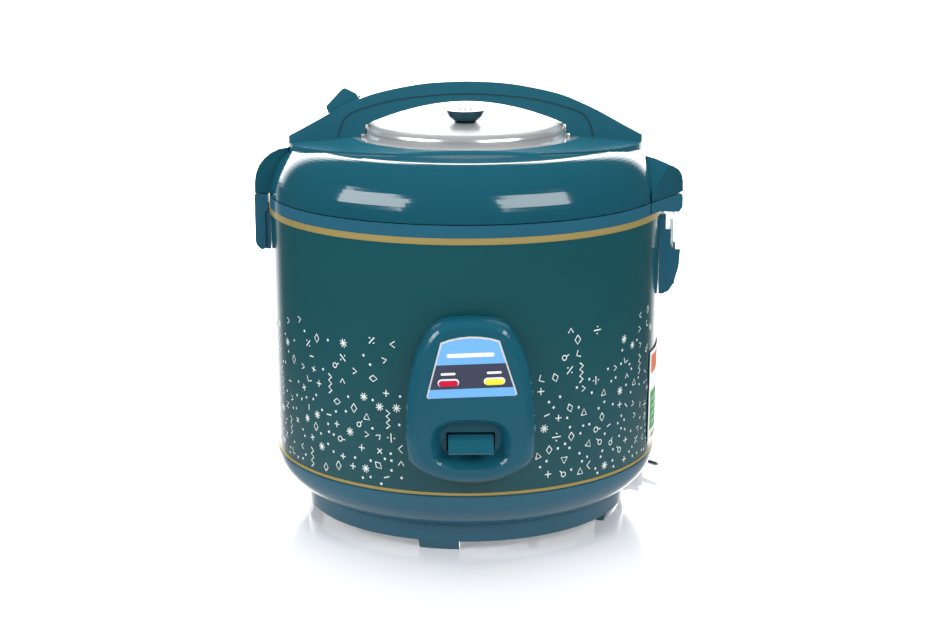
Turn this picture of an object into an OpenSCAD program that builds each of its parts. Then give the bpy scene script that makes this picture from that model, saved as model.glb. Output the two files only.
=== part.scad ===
/* [Body] */
// Radius of the painted shell at its top edge
body_r = 135; // [115:1:150]
// Radius that the shell loses from its top edge to its bottom edge
body_taper = 1.6; // [0:0.1:4]
// Height of the painted shell, from the base moulding to the collar
shell_h = 170.9; // [140:0.1:200]
// Sheet thickness of the painted shell
shell_t = 0.9; // [0.6:0.1:1.5]
// Height of the moulded collar above the shell
collar_h = 8; // [6:0.5:12]
// Gap of the seam between the collar and the lid
seam_gap = 0.6; // [0.4:0.1:1]
// Width of the upper gold band
upper_band_h = 4.2; // [2:0.1:8]
// Width of the lower gold band
lower_band_h = 1.8; // [1:0.1:4]

/* [Base] */
// Height of the feet under the skirt
foot_h = 6.5; // [4:0.5:10]
// Height of the straight skirt
skirt_h = 12.3; // [9:0.1:18]
// Height of the curved part of the base moulding
bulge_h = 26; // [20:1:34]
// Radius that the curved part loses on its way down
bulge_drop = 18.4; // [12:0.2:22]
// Wall thickness of the plastic mouldings
wall = 2.5; // [2:0.1:3.5]
// Arc that each foot covers, in degrees
foot_arc = 14; // [8:1:20]
// Heading of the front foot from the panel, in degrees
foot_yaw = -10.5; // [-15:0.5:0]

/* [Lid] */
// Height of the lid's dome above the seam
lid_h = 34.6; // [26:0.2:44]
// Radius of the nearly flat middle of the lid
lid_flat_r = 106.8; // [96:0.2:112]
// Radius of the steel top plate's rim
plate_r = 79; // [70:1:84]
// Height of the steel top plate's raised middle over its rim
plate_rise = 8.3; // [5:0.1:10]
// Sheet thickness of the steel parts
sheet_t = 0.8; // [0.5:0.1:1.2]

/* [Handle] */
// Distance from the middle of the handle to its pointed ends
handle_l = 122; // [112:1:126]
// Half of the handle's depth, front to back
handle_w = 14; // [11:0.5:18]
// Height of the arch's crown above the handle base
arch_h = 37.5; // [30:0.5:46]
// Thickness of the arch at its crown
arch_t = 13.6; // [11:0.2:15]
// Half of the opening's width between the handle's legs
opening_w = 66; // [56:1:70]
// Travel of the release button
button_travel = 3; // [2:0.5:4]

/* [Control panel] */
// Half of the panel housing's greatest width
panel_w = 41.3; // [36:0.1:46]
// Height of the panel housing's middle above the floor
panel_z = 112; // [105:1:118]
// Half of the panel housing's height
panel_h = 54; // [48:1:58]
// Distance that the panel's face stands out from the shell
panel_out = 15; // [12:0.5:20]
// Half of the switch window's width
window_w = 15.5; // [12:0.5:18]
// Half of the switch lever's width
lever_w = 14.4; // [10:0.2:14.5]
// Radius of the switch lever's pin
lever_pin_r = 1.5; // [1:0.1:2]
// Radial running clearance of every pin in its bore
pin_gap = 0.05; // [0.02:0.01:0.08]

/* [Cooking parts] */
// Outer radius of the inner pot
pot_r = 103; // [85:1:106]
// Wall thickness of the inner pot
pot_t = 1.5; // [1:0.1:2.5]
// Height of the heating plate's top above the floor
hotplate_z = 66; // [60:1:74]
// Radius of the heating plate
hotplate_r = 88; // [70:1:92]
// Radius of the thermostat cap
sensor_r = 17; // [13:0.5:20]

/* [Steam vent and dew cup] */
// Radius of the steam cap's top
cap_r = 13.7; // [11:0.1:15]
// Height of the steam cap above the steel plate
cap_h = 8.5; // [7:0.5:10]
// Half of the dew cup's width
cup_w = 20; // [15:1:24]
// Height of the dew cup's cover
cup_h = 56; // [44:1:64]

/* [Mains lead] */
// Diameter of the mains lead
cord_d = 6.6; // [6:0.1:7.5]
// Radius of the coil, at the middle of its turns
coil_r = 38; // [34:1:42]

/* [Hidden] */
$fn = 96;
eps = 0.01;

// Heights, from the floor up
skirt_z = foot_h;
step_z = skirt_z + skirt_h;
base_top = step_z + bulge_h;
collar_z = base_top + shell_h;
seam_z = collar_z + collar_h;
lid_z = seam_z + seam_gap;
lid_top = lid_z + lid_h;
plate_z = lid_top + 3.3;
plate_top = plate_z + plate_rise;
deck_z = collar_z - 2.5;
rim_z = deck_z + 2.6;
ledge_t = 3;

handle_z = lid_top + 3.9;

// Radii
low_r = body_r - body_taper;
step_r = low_r - bulge_drop;
skirt_top_r = step_r - 1.2;
skirt_low_r = skirt_top_r - 0.8;
lid_r = body_r - 0.2;
collar_r = body_r + 0.3;
jacket_r = pot_r + 8;
band_proud = 0.6;

// Feet: one at the front, two at the sides, two at the rear
foot_in_r = skirt_low_r - 9.5;
foot_headings = [for (a = [0, 76, 148, -148, -76]) foot_yaw + a];
cover_z = skirt_z + wall + 0.02;
screw_r = 88;
screw_headings = [30, 150, 270];

// Hinge and latch
hinge_x = lid_r + 11.3;
hinge_z = seam_z - 3.4;
knuckle_r = 3.2;
hinge_pin_r = 1.5;
knuckle_y = 9;
hinge_out_x = hinge_x + 3.5;
hinge_half_out = 15.5;
hinge_half_in = 50;
latch_w = 15;
latch_x = lid_r + 9.8;
latch_low_z = seam_z - 38.5;
hook_x = -(lid_r - 9);
hook_z = lid_z + 22;
hook_pin_r = 1.3;

// Release button
button_x = -84;
button_tilt = 30;
stem_x = -93.5;
arm_z = handle_z - 4.8;

// Panel
panel_y = body_r + panel_out;
lever_y = body_r - 12;
lever_z = panel_z - 27;
lamp_z = panel_z + 14.5;
lamp_x = 14.5;
label_tilt = 1.8;

// Inlet at the rear
inlet_z = 27;
inlet_y = low_r - 21;

// Route of the mains lead on the floor
coil_c = [-62, 186];
coil_in_r = coil_r - cord_d;
coil_out_r = coil_r + cord_d;
coil_h = 2 * cord_d;
lead_in = [[-38, 150, 27], [-48, 149.6, 26.6], [-58, 149.6, 25.4], [-68, 150.2, 23.4],
    [-78, 152.2, 21], [-87.5, 156.4, 18.9], [-95, 163.2, 17.4], [-100.4, 172, 16.4],
    [-102.8, 180, 15.8], [-103.3, 186, 15.4]];
lead_out = [[-20.7, 186, 3.4], [-19.6, 178, 3.4], [-16.2, 170.5, 3.4], [-9.8, 163, 3.4],
    [-1, 157.8, 3.4], [9.3, 156, 3.4], [25, 154.3, 3.4], [40, 149.8, 3.4], [53, 142.6, 3.4],
    [64.5, 132.6, 3.8], [74.5, 120.2, 5.4], [82, 109.8, 7], [88.4, 100.8, 8]];
plug_at = [125, 52, 8];
plug_turn = -53.13;
pin_pitch = 19;

// ---- shared shapes ----

// Solid of revolution from [radius, height] points
module turned(points) {
    rotate_extrude() polygon(points);
}

// Ring of rectangular section
module ring(r_in, r_out, z, h) {
    turned([[r_in, z], [r_out, z], [r_out, z + h], [r_in, z + h]]);
}

// Part of a ring, centred on a heading measured from the front towards +X
module ring_arc(points, heading, arc) {
    rotate([0, 0, heading - 90 - arc / 2])
        rotate_extrude(angle = arc) polygon(points);
}

// Place children at a radius and a heading measured from the front towards +X
module at_heading(heading, r) {
    rotate([0, 0, heading]) translate([0, -r, 0]) children();
}

// A profile drawn in X and Z, extruded in Y between two values
module along_y(y0, y1) {
    translate([0, y1, 0]) rotate([90, 0, 0]) linear_extrude(y1 - y0) children();
}

// A profile drawn in Y and Z, extruded in X between two values
module along_x(x0, x1) {
    translate([x0, 0, 0]) rotate([90, 0, 90]) linear_extrude(x1 - x0) children();
}

// Round bar along Y
module rod_y(x, z, r, y0, y1) {
    translate([x, y1, z]) rotate([90, 0, 0]) cylinder(r = r, h = y1 - y0);
}

// Round bar along X
module rod_x(y, z, r, x0, x1) {
    translate([x0, y, z]) rotate([0, 90, 0]) cylinder(r = r, h = x1 - x0);
}

// Flat shape with half-round ends
module slot_2d(len, width) {
    square([len - width, width], center = true);
    for (s = [-1, 1]) translate([s * (len - width) / 2, 0]) circle(r = width / 2);
}

// Rectangle with round corners
module round_rect(w, h, r) {
    square([w - 2 * r, h], center = true);
    square([w, h - 2 * r], center = true);
    for (sx = [-1, 1], sy = [-1, 1])
        translate([sx * (w / 2 - r), sy * (h / 2 - r)]) circle(r = r);
}

// Point at t on a smooth curve through four neighbouring points
function smooth(a, b, c, d, t) = 0.5 * (2 * b + (c - a) * t
    + (2 * a - 5 * b + 4 * c - d) * t * t + (3 * b - a - 3 * c + d) * t * t * t);

// Smooth open curve through a list of points, with n steps between neighbours
function smooth_path(p, n) = let (last = len(p) - 1) concat(
    [for (i = [0:last - 1], k = [0:n - 1])
        smooth(p[max(i - 1, 0)], p[i], p[i + 1], p[min(i + 2, last)], k / n)],
    [p[last]]);

function unit(v) = v / norm(v);

// Directions along a path, at each of its points
function headings_of(p) = [for (i = [0:len(p) - 1])
    unit(p[min(i + 1, len(p) - 1)] - p[max(i - 1, 0)])];

// Skin that joins rings of equally many points, closed at both ends
module skin(rings) {
    n = len(rings[0]);
    m = len(rings);
    polyhedron(
        points = [for (r = rings, q = r) q],
        faces = concat(
            [[for (k = [n - 1:-1:0]) k]],
            [for (i = [0:m - 2], k = [0:n - 1])
                [i * n + k, i * n + (k + 1) % n, (i + 1) * n + (k + 1) % n, (i + 1) * n + k]],
            [[for (k = [0:n - 1]) (m - 1) * n + k]]));
}

// Round tube swept along a path, with one ring at each point
module swept(path, r, sides) {
    dirs = headings_of(path);
    skin([for (i = [0:len(path) - 1])
        let (d = dirs[i], up = abs(d[2]) > 0.9 ? [0, 1, 0] : [0, 0, 1],
            a = unit(cross(up, d)), b = cross(d, a))
        [for (k = [0:sides - 1])
            path[i] + r * cos(360 * k / sides) * a - r * sin(360 * k / sides) * b]]);
}

// Coil spring on the Z axis
module spring(r, wire, z, h, turns) {
    steps = turns * 12;
    swept([for (i = [0:steps])
        [r * cos(30 * i), r * sin(30 * i), z + wire + (h - 2 * wire) * i / steps]], wire, 6);
}

// ---- base and body ----

// Outer curve of the base moulding, from the shell down to the step
function bulge(z) = low_r + 0.5 - (bulge_drop + 0.5) * pow((base_top - z) / bulge_h, 2.15);

module base_moulding() {
    steps = 14;
    curve = [for (i = [0:steps]) let (z = base_top - bulge_h * i / steps) [bulge(z), z]];
    inside = [for (i = [steps:-1:2]) let (z = base_top - bulge_h * i / steps) [bulge(z) - wall, z]];
    color("#2f5f73") difference() {
        union() {
            turned(concat(curve,
                [[skirt_top_r, step_z], [skirt_low_r, skirt_z], [skirt_low_r - wall, skirt_z],
                    [skirt_top_r - wall, step_z]],
                inside,
                [[low_r - 6, base_top - ledge_t], [low_r - 6, base_top + 6],
                    [low_r - shell_t - 0.2, base_top + 6], [low_r - shell_t - 0.2, base_top]]));
            for (a = foot_headings)
                ring_arc([[foot_in_r, skirt_z + wall], [foot_in_r + 1, 0], [skirt_low_r - 3, 0],
                    [skirt_low_r - 0.1, skirt_z], [skirt_low_r - 0.1, skirt_z + wall]], a, foot_arc);
            for (a = screw_headings) {
                at_heading(a, screw_r) translate([0, 0, cover_z + 1.25])
                    cylinder(r = 4.5, h = 20);
                at_heading(a, (screw_r + skirt_top_r) / 2)
                    translate([-1.2, -(skirt_top_r - screw_r) / 2 + 1.5, skirt_z + wall + 6])
                        cube([2.4, skirt_top_r - screw_r - 5, 12]);
            }
            // walls of the inlet pocket
            intersection() {
                translate([-16, inlet_y - 6, inlet_z - 12]) cube([32, 50, 24]);
                turned(concat([for (p = curve) [p[0] - 1.2, p[1]]], [[0, step_z], [0, base_top]]));
            }
        }
        for (a = screw_headings)
            at_heading(a, screw_r) translate([0, 0, skirt_z]) cylinder(r = 1.6, h = 20);
        // opening for the inlet
        translate([-13.5, inlet_y - 4, inlet_z - 9.5]) cube([27, 60, 19]);
        for (x = [-7, 0, 7])
            translate([x - 1.1, inlet_y - 8, inlet_z - 2.1]) cube([2.2, 6, 4.2]);
    }
}

module outer_shell() {
    color("#14474f") difference() {
        turned([[low_r, base_top], [body_r, collar_z], [body_r - shell_t, collar_z],
            [low_r - shell_t, base_top]]);
        // opening behind the control panel
        translate([-25, -body_r - 5, lever_z - 17]) cube([50, 30, 72]);
    }
}

module upper_gold_band() {
    color("#b8a96b") ring(body_r, body_r + band_proud, collar_z - upper_band_h, upper_band_h);
}

module lower_gold_band() {
    color("#b8a96b")
        ring(low_r + 0.08, low_r + band_proud, base_top + 1.1, lower_band_h);
}

// Plan of the hinge block, wide at the shell and narrow outside
module hinge_plan(grow = 0) {
    polygon([[lid_r - 12, -hinge_half_in - 8], [hinge_out_x + grow, -hinge_half_out],
        [hinge_out_x + grow, hinge_half_out], [lid_r - 12, hinge_half_in + 8]]);
}

module body_collar() {
    color("#2c5a78") difference() {
        union() {
            turned([[collar_r, collar_z], [collar_r, seam_z], [collar_r - 3.4, seam_z],
                [collar_r - 4.2, seam_z - 5.5], [jacket_r + 3, deck_z + 0.5], [pot_r + 1, deck_z],
                [pot_r + 1, deck_z - 2], [jacket_r + 3, deck_z - 2],
                [collar_r - 6.4, deck_z + 0.7], [collar_r - 5.4, collar_z - 9],
                [body_r - shell_t - 0.4, collar_z - 9], [body_r - shell_t - 0.4, collar_z]]);
            // hinge block
            difference() {
                intersection() {
                    translate([0, 0, collar_z - 5.5]) linear_extrude(seam_z - collar_z + 5.5)
                        hinge_plan();
                    along_y(-80, 80) polygon([[60, collar_z + 0.3], [130, collar_z + 0.3],
                        [hinge_out_x - 3, collar_z - 5], [hinge_out_x, collar_z - 2.4],
                        [hinge_out_x, hinge_z],
                        for (a = [10:20:70]) [hinge_x + 3.5 * cos(a), hinge_z + 3.4 * sin(a)],
                        [hinge_x, seam_z], [60, seam_z]]);
                }
                translate([0, 0, collar_z - 30]) cylinder(r = body_r + band_proud + 0.1, h = 30);
                cylinder(r = collar_r - 1, h = 400);
            }
        }
        // trough for the lid's knuckles, and the pin's holes
        rod_y(hinge_x, hinge_z, knuckle_r + 0.4, -knuckle_y - 0.4, knuckle_y + 0.4);
        translate([hinge_x - knuckle_r - 0.4, -knuckle_y - 0.4, hinge_z])
            cube([20, 2 * knuckle_y + 0.8, 20]);
        rod_y(hinge_x, hinge_z, hinge_pin_r, -14, 14);
    }
}

module bottom_plate() {
    color("silver") difference() {
        translate([0, 0, cover_z]) cylinder(r = skirt_low_r - wall - 0.5, h = 1.2);
        for (a = screw_headings)
            at_heading(a, screw_r) translate([0, 0, skirt_z]) cylinder(r = 1.8, h = 8);
        for (a = [0:30:330], r = [34, 46, 58])
            at_heading(a + 15, r) translate([0, 0, skirt_z]) linear_extrude(8) slot_2d(9, 3);
    }
}

module base_screws() {
    color("gray") for (a = screw_headings) at_heading(a, screw_r) {
        translate([0, 0, cover_z - 2]) cylinder(r = 3.2, h = 2);
        translate([0, 0, cover_z - eps]) cylinder(r = 1.5, h = 12);
    }
}

// ---- cooking parts ----

module inner_jacket() {
    floor_z = hotplate_z - 16;
    color("silver") difference() {
        turned([[24, floor_z], [jacket_r + 1, floor_z], [jacket_r + 1, deck_z - 2.05],
            [jacket_r, deck_z - 2.05], [jacket_r, floor_z + 1], [24, floor_z + 1]]);
        for (a = [45:90:315]) at_heading(a, 60)
            translate([0, 0, floor_z - 1]) cylinder(r = 5, h = 4);
    }
}

module keep_warm_heater() {
    color("dimgray") ring_arc([[jacket_r + 1, deck_z - 95], [jacket_r + 3, deck_z - 95],
        [jacket_r + 3, deck_z - 55], [jacket_r + 1, deck_z - 55]], 180, 300);
}

module heating_plate() {
    color("lightgray") difference() {
        union() {
            turned([[sensor_r + 2, hotplate_z - 9], [hotplate_r - 4, hotplate_z - 9],
                [hotplate_r - 1, hotplate_z - 5], [hotplate_r, hotplate_z - 1],
                [hotplate_r - 1, hotplate_z], [sensor_r + 2, hotplate_z]]);
            for (a = [0:120:240]) at_heading(a, 72)
                translate([0, 0, hotplate_z - 15]) cylinder(r = 5, h = 8);
            // cast-in heater ends
            for (s = [-1, 1]) at_heading(180 + s * 20, 60)
                translate([0, 0, hotplate_z - 15]) cylinder(r = 2, h = 8);
        }
        // shallow ring groove over the cast-in heater
        ring(50, 54, hotplate_z - 0.6, 2);
    }
}

module inner_pot() {
    corner = 16;
    steps = 8;
    outer = [for (i = [0:steps]) let (a = -90 + 90 * i / steps)
        [pot_r - corner + corner * cos(a), hotplate_z + corner + corner * sin(a)]];
    inner = [for (i = [steps:-1:0]) let (a = -90 + 90 * i / steps)
        [pot_r - corner + (corner - pot_t) * cos(a),
            hotplate_z + corner + (corner - pot_t) * sin(a)]];
    color("gainsboro") turned(concat([[0, hotplate_z]], outer,
        [[pot_r, rim_z - 1.2], [pot_r + 6, rim_z - 1.2], [pot_r + 6.5, rim_z - 0.6],
            [pot_r + 6, rim_z], [pot_r - 0.5, rim_z], [pot_r - pot_t, rim_z - 1.5]],
        inner, [[0, hotplate_z + pot_t]]));
}

module thermostat_bracket() {
    z = hotplate_z - 17.4;
    color("silver") difference() {
        translate([0, 0, z]) cylinder(r = 32, h = 1.35);
        translate([0, 0, z - 1]) cylinder(r = 8, h = 5);
    }
}

module thermostat_cap() {
    color("lightgray") turned([[0, hotplate_z - 27], [4, hotplate_z - 27], [4, hotplate_z - 6],
        [sensor_r, hotplate_z - 6], [sensor_r, hotplate_z - 1.3], [sensor_r - 1, hotplate_z - 0.3],
        [0, hotplate_z - 0.3]]);
}

module sensor_spring() {
    color("gray") spring(12, 0.7, hotplate_z - 16, 9.8, 4);
}

module link_bar() {
    z = hotplate_z - 30;
    color("silver") difference() {
        union() {
            translate([-6, -jacket_r - 6.2, z]) cube([12, jacket_r + 6.2, 2]);
            translate([0, 0, z]) cylinder(r = 13, h = 2);
            // turned-up front end, next to the lever's tail
            translate([-6, -jacket_r - 6.2, z]) cube([12, 2, 24.5]);
        }
        translate([0, 0, z - 1]) cylinder(r = 6, h = 5);
    }
}

module lift_magnet() {
    color("#3a3a3a") ring(6.2, 11, hotplate_z - 28, 5);
}

module microswitch() {
    color("#2b2b2b") {
        translate([9, -84, hotplate_z - 40]) cube([26, 10, 16]);
        translate([13, -81, hotplate_z - 24.01]) cube([4, 4, 2.5]);
    }
    color("silver") for (x = [12, 21, 30])
        translate([x, -80, hotplate_z - 48]) cube([1, 3, 8.1]);
}

module thermal_fuse() {
    color("#b5b5b5") {
        rod_x(48, hotplate_z - 24, 2, -30, -12);
        rod_x(48, hotplate_z - 24, 0.6, -38, -4);
    }
}

module terminal_block() {
    color("ivory") difference() {
        translate([-22, 78, hotplate_z - 44]) cube([44, 14, 14]);
        for (x = [-14, 0, 14]) translate([x, 85, hotplate_z - 36]) cylinder(r = 2.4, h = 20);
    }
}

module wire_harness() {
    z = hotplate_z - 33;
    for (i = [0:2]) color(["brown", "royalblue", "olive"][i])
        swept(smooth_path([[-8 + 8 * i, 92.4, z], [-8 + 8 * i, 94.5, z], [-7 + 7 * i, 97, z - 2],
            [-7 + 7 * i, inlet_y - 13, z - 6]], 3), 1.2, 8);
    color("brown") swept(smooth_path([[-30, 84, z], [-48, 80, z], [-66, 56, z], [-74, 20, z],
        [-70, -24, z], [-50, -60, z], [-20, -84, z], [-6, -92, z]], 4), 1.2, 8);
    color("royalblue") swept(smooth_path([[24, 84, z], [46, 78, z], [66, 54, z], [76, 10, z],
        [70, -36, z], [57, -62, z], [48, -72, z], [36.4, -79, z]], 4), 1.2, 8);
}

// ---- control panel ----

// Half outline of the panel housing, as shares of its width and height
panel_half = [[0, 1], [0.3, 0.985], [0.53, 0.93], [0.68, 0.80], [0.85, 0.52], [0.955, 0.15],
    [1, -0.31], [0.98, -0.65], [0.85, -0.80], [0.53, -0.935], [0.25, -0.985], [0, -1]];
panel_curve = smooth_path(panel_half, 3);

// Outline of the housing drawn in by a distance, at a depth y
function panel_ring(inset, y) = let (kx = panel_w - inset, kz = panel_h - inset, n = len(panel_curve))
    concat(
        [for (i = [0:n - 2]) [panel_curve[i][0] * kx, -y, panel_z + panel_curve[i][1] * kz]],
        [for (i = [n - 1:-1:1]) [-panel_curve[i][0] * kx, -y, panel_z + panel_curve[i][1] * kz]]);

// Outline of the finger recess, a rounded rectangle drawn by a formula
recess_z = lever_z + 0.5;
function recess_ring(w, h, z, y) = [for (i = [0:35]) let (a = -10 * i, c = cos(a), s = sin(a))
    [w * sign(c) * pow(abs(c), 0.6), -y, z + h * sign(s) * pow(abs(s), 0.75)]];

module control_housing() {
    face = panel_y;
    color("#1d5566") {
        difference() {
            union() {
                difference() {
                    skin([panel_ring(-0.5, body_r - 12), panel_ring(0, face - 8),
                        panel_ring(0.8, face - 4.5), panel_ring(2.4, face - 2),
                        panel_ring(4.2, face - 0.5), panel_ring(6.2, face)]);
                    // hollow inside
                    skin([panel_ring(2, body_r - 14), panel_ring(2.6, face - 8),
                        panel_ring(5.4, face - wall)]);
                    // back follows the painted shell
                    cylinder(r = body_r + 0.02, h = 260);
                }
                // pocket behind the finger recess
                difference() {
                    skin([recess_ring(24, 15, recess_z, face - 9.5),
                        recess_ring(28, 19, recess_z, face - 1)]);
                }
                // ears that carry the lever's pin
                for (s = [-1, 1]) along_x(s * 20.5 - 1.5, s * 20.5 + 1.5)
                    polygon([[-face + 4, lever_z - 6], [-lever_y + 4, lever_z - 5],
                        [-lever_y + 4, lever_z + 5], [-face + 4, lever_z + 6]]);
            }
            skin([recess_ring(19.5, 10.5, recess_z + 1.5, face - 7.5),
                recess_ring(21.5, 12.5, recess_z + 0.8, face - 5),
                recess_ring(24, 15.2, recess_z, face - 1.4),
                recess_ring(26, 17, recess_z, face + 0.4)]);
            // window for the lever
            translate([-window_w, -face - 1, lever_z - 5.9]) cube([2 * window_w, 12.5, 12.5]);
            // holes for the two lamps
            translate([0, -face, panel_z + 24]) rotate([0, -label_tilt, 0]) rotate([90, 0, 0])
                for (s = [-1, 1]) translate([s * lamp_x, -9.5, -5])
                    linear_extrude(6.5) slot_2d(12.2, 3.8);
            for (s = [-1, 1]) rod_x(-lever_y, lever_z, lever_pin_r, s * 20.5 - 3, s * 20.5 + 3);
        }
    }
}

// Outline of the label, with an arched top edge
module label_2d(inset) {
    k = 1 - inset / 26;
    polygon([for (p = [[-28.47, -17.17], [-28.4, -18.1], [-27.8, -18.8],
        [-26.9, -19], [26.9, -19], [27.8, -18.8], [28.4, -18.1], [28.47, -17.17], [18.6, 17], [13, 18.8], [6.5, 20], [0, 20.4],
        [-6.5, 20], [-13, 18.8], [-18.6, 17]]) p * k]);
}

module panel_label() {
    color("#84bdea") translate([0, -panel_y, panel_z + 24]) rotate([0, -label_tilt, 0])
        rotate([90, 0, 0]) difference() {
            linear_extrude(0.3) label_2d(0);
            for (s = [-1, 1]) translate([s * lamp_x, -9.5, -1]) linear_extrude(3) slot_2d(12.2, 3.8);
        }
}

// Lamp lens: a bar with round ends that fills its hole
module lamp_lens(side) {
    translate([0, -panel_y, panel_z + 24]) rotate([0, -label_tilt, 0])
        rotate([90, 0, 0]) translate([side * lamp_x, -9.5, -3])
            linear_extrude(3.7) slot_2d(12.1, 3.7);
}

module cook_lens() {
    color("crimson") lamp_lens(-1);
}

module warm_lens() {
    color("gold") lamp_lens(1);
}

module lamp_holder() {
    color("ivory") translate([-22, -panel_y + 7, lamp_z - 8]) cube([44, 1.6, 16]);
    color("orange") for (s = [-1, 1])
        rod_x(-panel_y + 5.2, lamp_z, 1.8, s * lamp_x - 5, s * lamp_x + 5);
}

module switch_lever() {
    tip = panel_y + 4.5;
    color("#1d5566") difference() {
        union() {
            along_x(-lever_w, lever_w) polygon([[-tip, lever_z - 3.6], [-tip + 1.2, lever_z - 5],
                [-tip + 8, lever_z - 2.6], [-lever_y, lever_z - 3], [-lever_y, lever_z + 3],
                [-tip + 10, lever_z + 5.6], [-tip + 5.5, lever_z + 3.2], [-tip + 0.6, lever_z - 2.4]]);
            rod_x(-lever_y, lever_z, 4, -lever_w, lever_w);
            along_x(-3, 3) polygon([[-lever_y - 3.9, lever_z], [-lever_y - 1.5, lever_z - 26],
                [-lever_y + 1.5, lever_z - 26], [-lever_y + 3, lever_z]]);
        }
        rod_x(-lever_y, lever_z, lever_pin_r + pin_gap, -30, 30);
    }
}

module lever_pin() {
    color("silver") rod_x(-lever_y, lever_z, lever_pin_r, -22, 22);
}

// ---- mains lead ----

module power_inlet() {
    color("#262626") {
        difference() {
            translate([-13.4, inlet_y - 3.9, inlet_z - 9.4]) cube([26.8, 13, 18.8]);
            translate([-12, inlet_y - 1.5, inlet_z - 8]) cube([24, 40, 16]);
        }
        for (x = [-7, 0, 7])
            translate([x - 1, inlet_y - 12, inlet_z - 2]) cube([2, 18, 4]);
    }
}

module mains_connector() {
    color("#262626") difference() {
        union() {
            translate([-11.7, inlet_y - 1.2, inlet_z - 7.7]) cube([23.4, 47, 15.4]);
            // tapered strain relief that leaves to one side
            translate([-11.6, 150, inlet_z]) rotate([0, -90, 0])
                cylinder(r1 = 6.4, r2 = cord_d / 2 + 0.9, h = 26.4);
        }
        for (x = [-7, 0, 7])
            translate([x - 1.3, inlet_y - 2, inlet_z - 2.3]) cube([2.6, 9, 4.6]);
    }
}

module cord_lead_in() {
    color("#262626") swept(smooth_path(lead_in, 2), cord_d / 2, 8);
}

module cord_coil() {
    color("#262626") translate([coil_c[0], coil_c[1], 0])
        ring(coil_in_r, coil_out_r, 0.1, coil_h);
}

module cord_lead_out() {
    color("#262626") swept(smooth_path(lead_out, 2), cord_d / 2, 8);
}

// Children are drawn with the pins pointing along +X
module at_plug() {
    translate(plug_at) rotate([0, 0, plug_turn]) children();
}

module plug_body() {
    color("#262626") at_plug() {
        difference() {
            linear_extrude(13.8, center = true) polygon([[0, -13], [0, 13],
                [-12, 13], [-18, 10.5], [-30, 9.5], [-36, 7], [-36, -7], [-30, -9.5],
                [-18, -10.5], [-12, -13]]);
            for (s = [-1, 1]) translate([-9, s * pin_pitch / 2, 0]) rotate([0, 90, 0])
                cylinder(r = 2.6, h = 12);
        }
        translate([-36 + eps, 0, 0]) rotate([0, -90, 0])
            cylinder(r1 = 5.6, r2 = cord_d / 2 + 0.9, h = 25);
    }
}

module plug_pins() {
    color("silver") at_plug() for (s = [-1, 1]) translate([-8.9, s * pin_pitch / 2, 0])
        rotate([0, 90, 0]) {
            cylinder(r = 2.6, h = 8.9);
            translate([0, 0, 8.9 - eps]) cylinder(r = 1.95, h = 17.1 + eps);
            translate([0, 0, 26 - eps]) cylinder(r1 = 1.95, r2 = 1.2, h = 1.9);
        }
}

// ---- latch on the body and dew cup ----

module latch_catch() {
    color("#1d5566") {
        difference() {
            translate([-body_r - 2.9, -latch_w + 1, latch_low_z]) cube([8, 2 * latch_w - 2, 26]);
            cylinder(r = body_r + 0.03, h = 400, $fn = 720);
        }
    }
}

module catch_cover() {
    z0 = latch_low_z - 0.5;
    out = latch_x + 0.4;
    color("#1d5566") difference() {
        along_y(-latch_w, latch_w) polygon([[-body_r - 3, z0 + 1],
            [-body_r - 3, latch_low_z + 26.4], [-body_r - 0.9, latch_low_z + 26.4],
            [-body_r - 0.9, seam_z], [-out, seam_z], [-out, z0 + 6], [-out + 0.8, z0 + 3.4], [-out + 2.6, z0 + 1.2],
            [-out + 4.4, z0]]);
        translate([-out + 1.6, -latch_w + 1.8, z0 + 8])
            cube([out - body_r - 3 - 2.2, 2 * latch_w - 3.6, 60]);
    }
}

cup_top = collar_z - 6;
cup_x = body_r + 2.6;
cup_out = hinge_out_x - 3.5;

module dew_holder() {
    color("#1d5566") difference() {
        translate([body_r - 8, -cup_w - 3, cup_top - cup_h]) cube([10.2, 2 * cup_w + 6, cup_h]);
        cylinder(r = body_r + 0.03, h = 400, $fn = 720);
        // shallow bay for the cup's back
        translate([body_r + 0.8, -cup_w - 0.5, cup_top - cup_h + 3])
            cube([10, 2 * cup_w + 1, cup_h]);
    }
}

module dew_cup() {
    z0 = cup_top - cup_h + 6;
    color([0.9, 0.93, 0.95, 0.4]) difference() {
        translate([cup_x - 1.2, -cup_w + 1.5, z0]) cube([cup_out - cup_x - 0.2, 2 * cup_w - 3, cup_h - 7]);
        translate([cup_x + 0.2, -cup_w + 3, z0 + 1.5])
            cube([cup_out - cup_x - 3, 2 * cup_w - 6, cup_h]);
    }
}

module dew_cover() {
    z0 = cup_top - cup_h;
    zc = cup_top - 25;
    color("#1d5566") difference() {
        along_y(-cup_w, cup_w) polygon([[cup_x - 0.2, z0 + 0.4], [cup_x - 0.2, zc + 14],
            [cup_x + 3.6, zc + 14], [cup_x + 3.6, zc + 4], [cup_x + 4.6, zc + 1.2],
            [cup_x + 7, zc], [cup_out + 2, zc], [cup_out + 1.2, zc - 12], [cup_out - 2, zc - 24],
            [cup_out - 5, z0 + 2], [cup_out - 7, z0 + 0.4]]);
        translate([cup_x - 2, -cup_w + 1.3, z0 + 5.8])
            cube([cup_out - cup_x + 1, 2 * cup_w - 2.6, cup_h]);
    }
}

module energy_sticker() {
    color("white") ring_arc([[low_r + 0.85, base_top + 8], [low_r + 1.05, base_top + 8],
        [low_r + 1.65, base_top + 74], [low_r + 1.45, base_top + 74]], 79, 22);
}

// ---- lid ----

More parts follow.
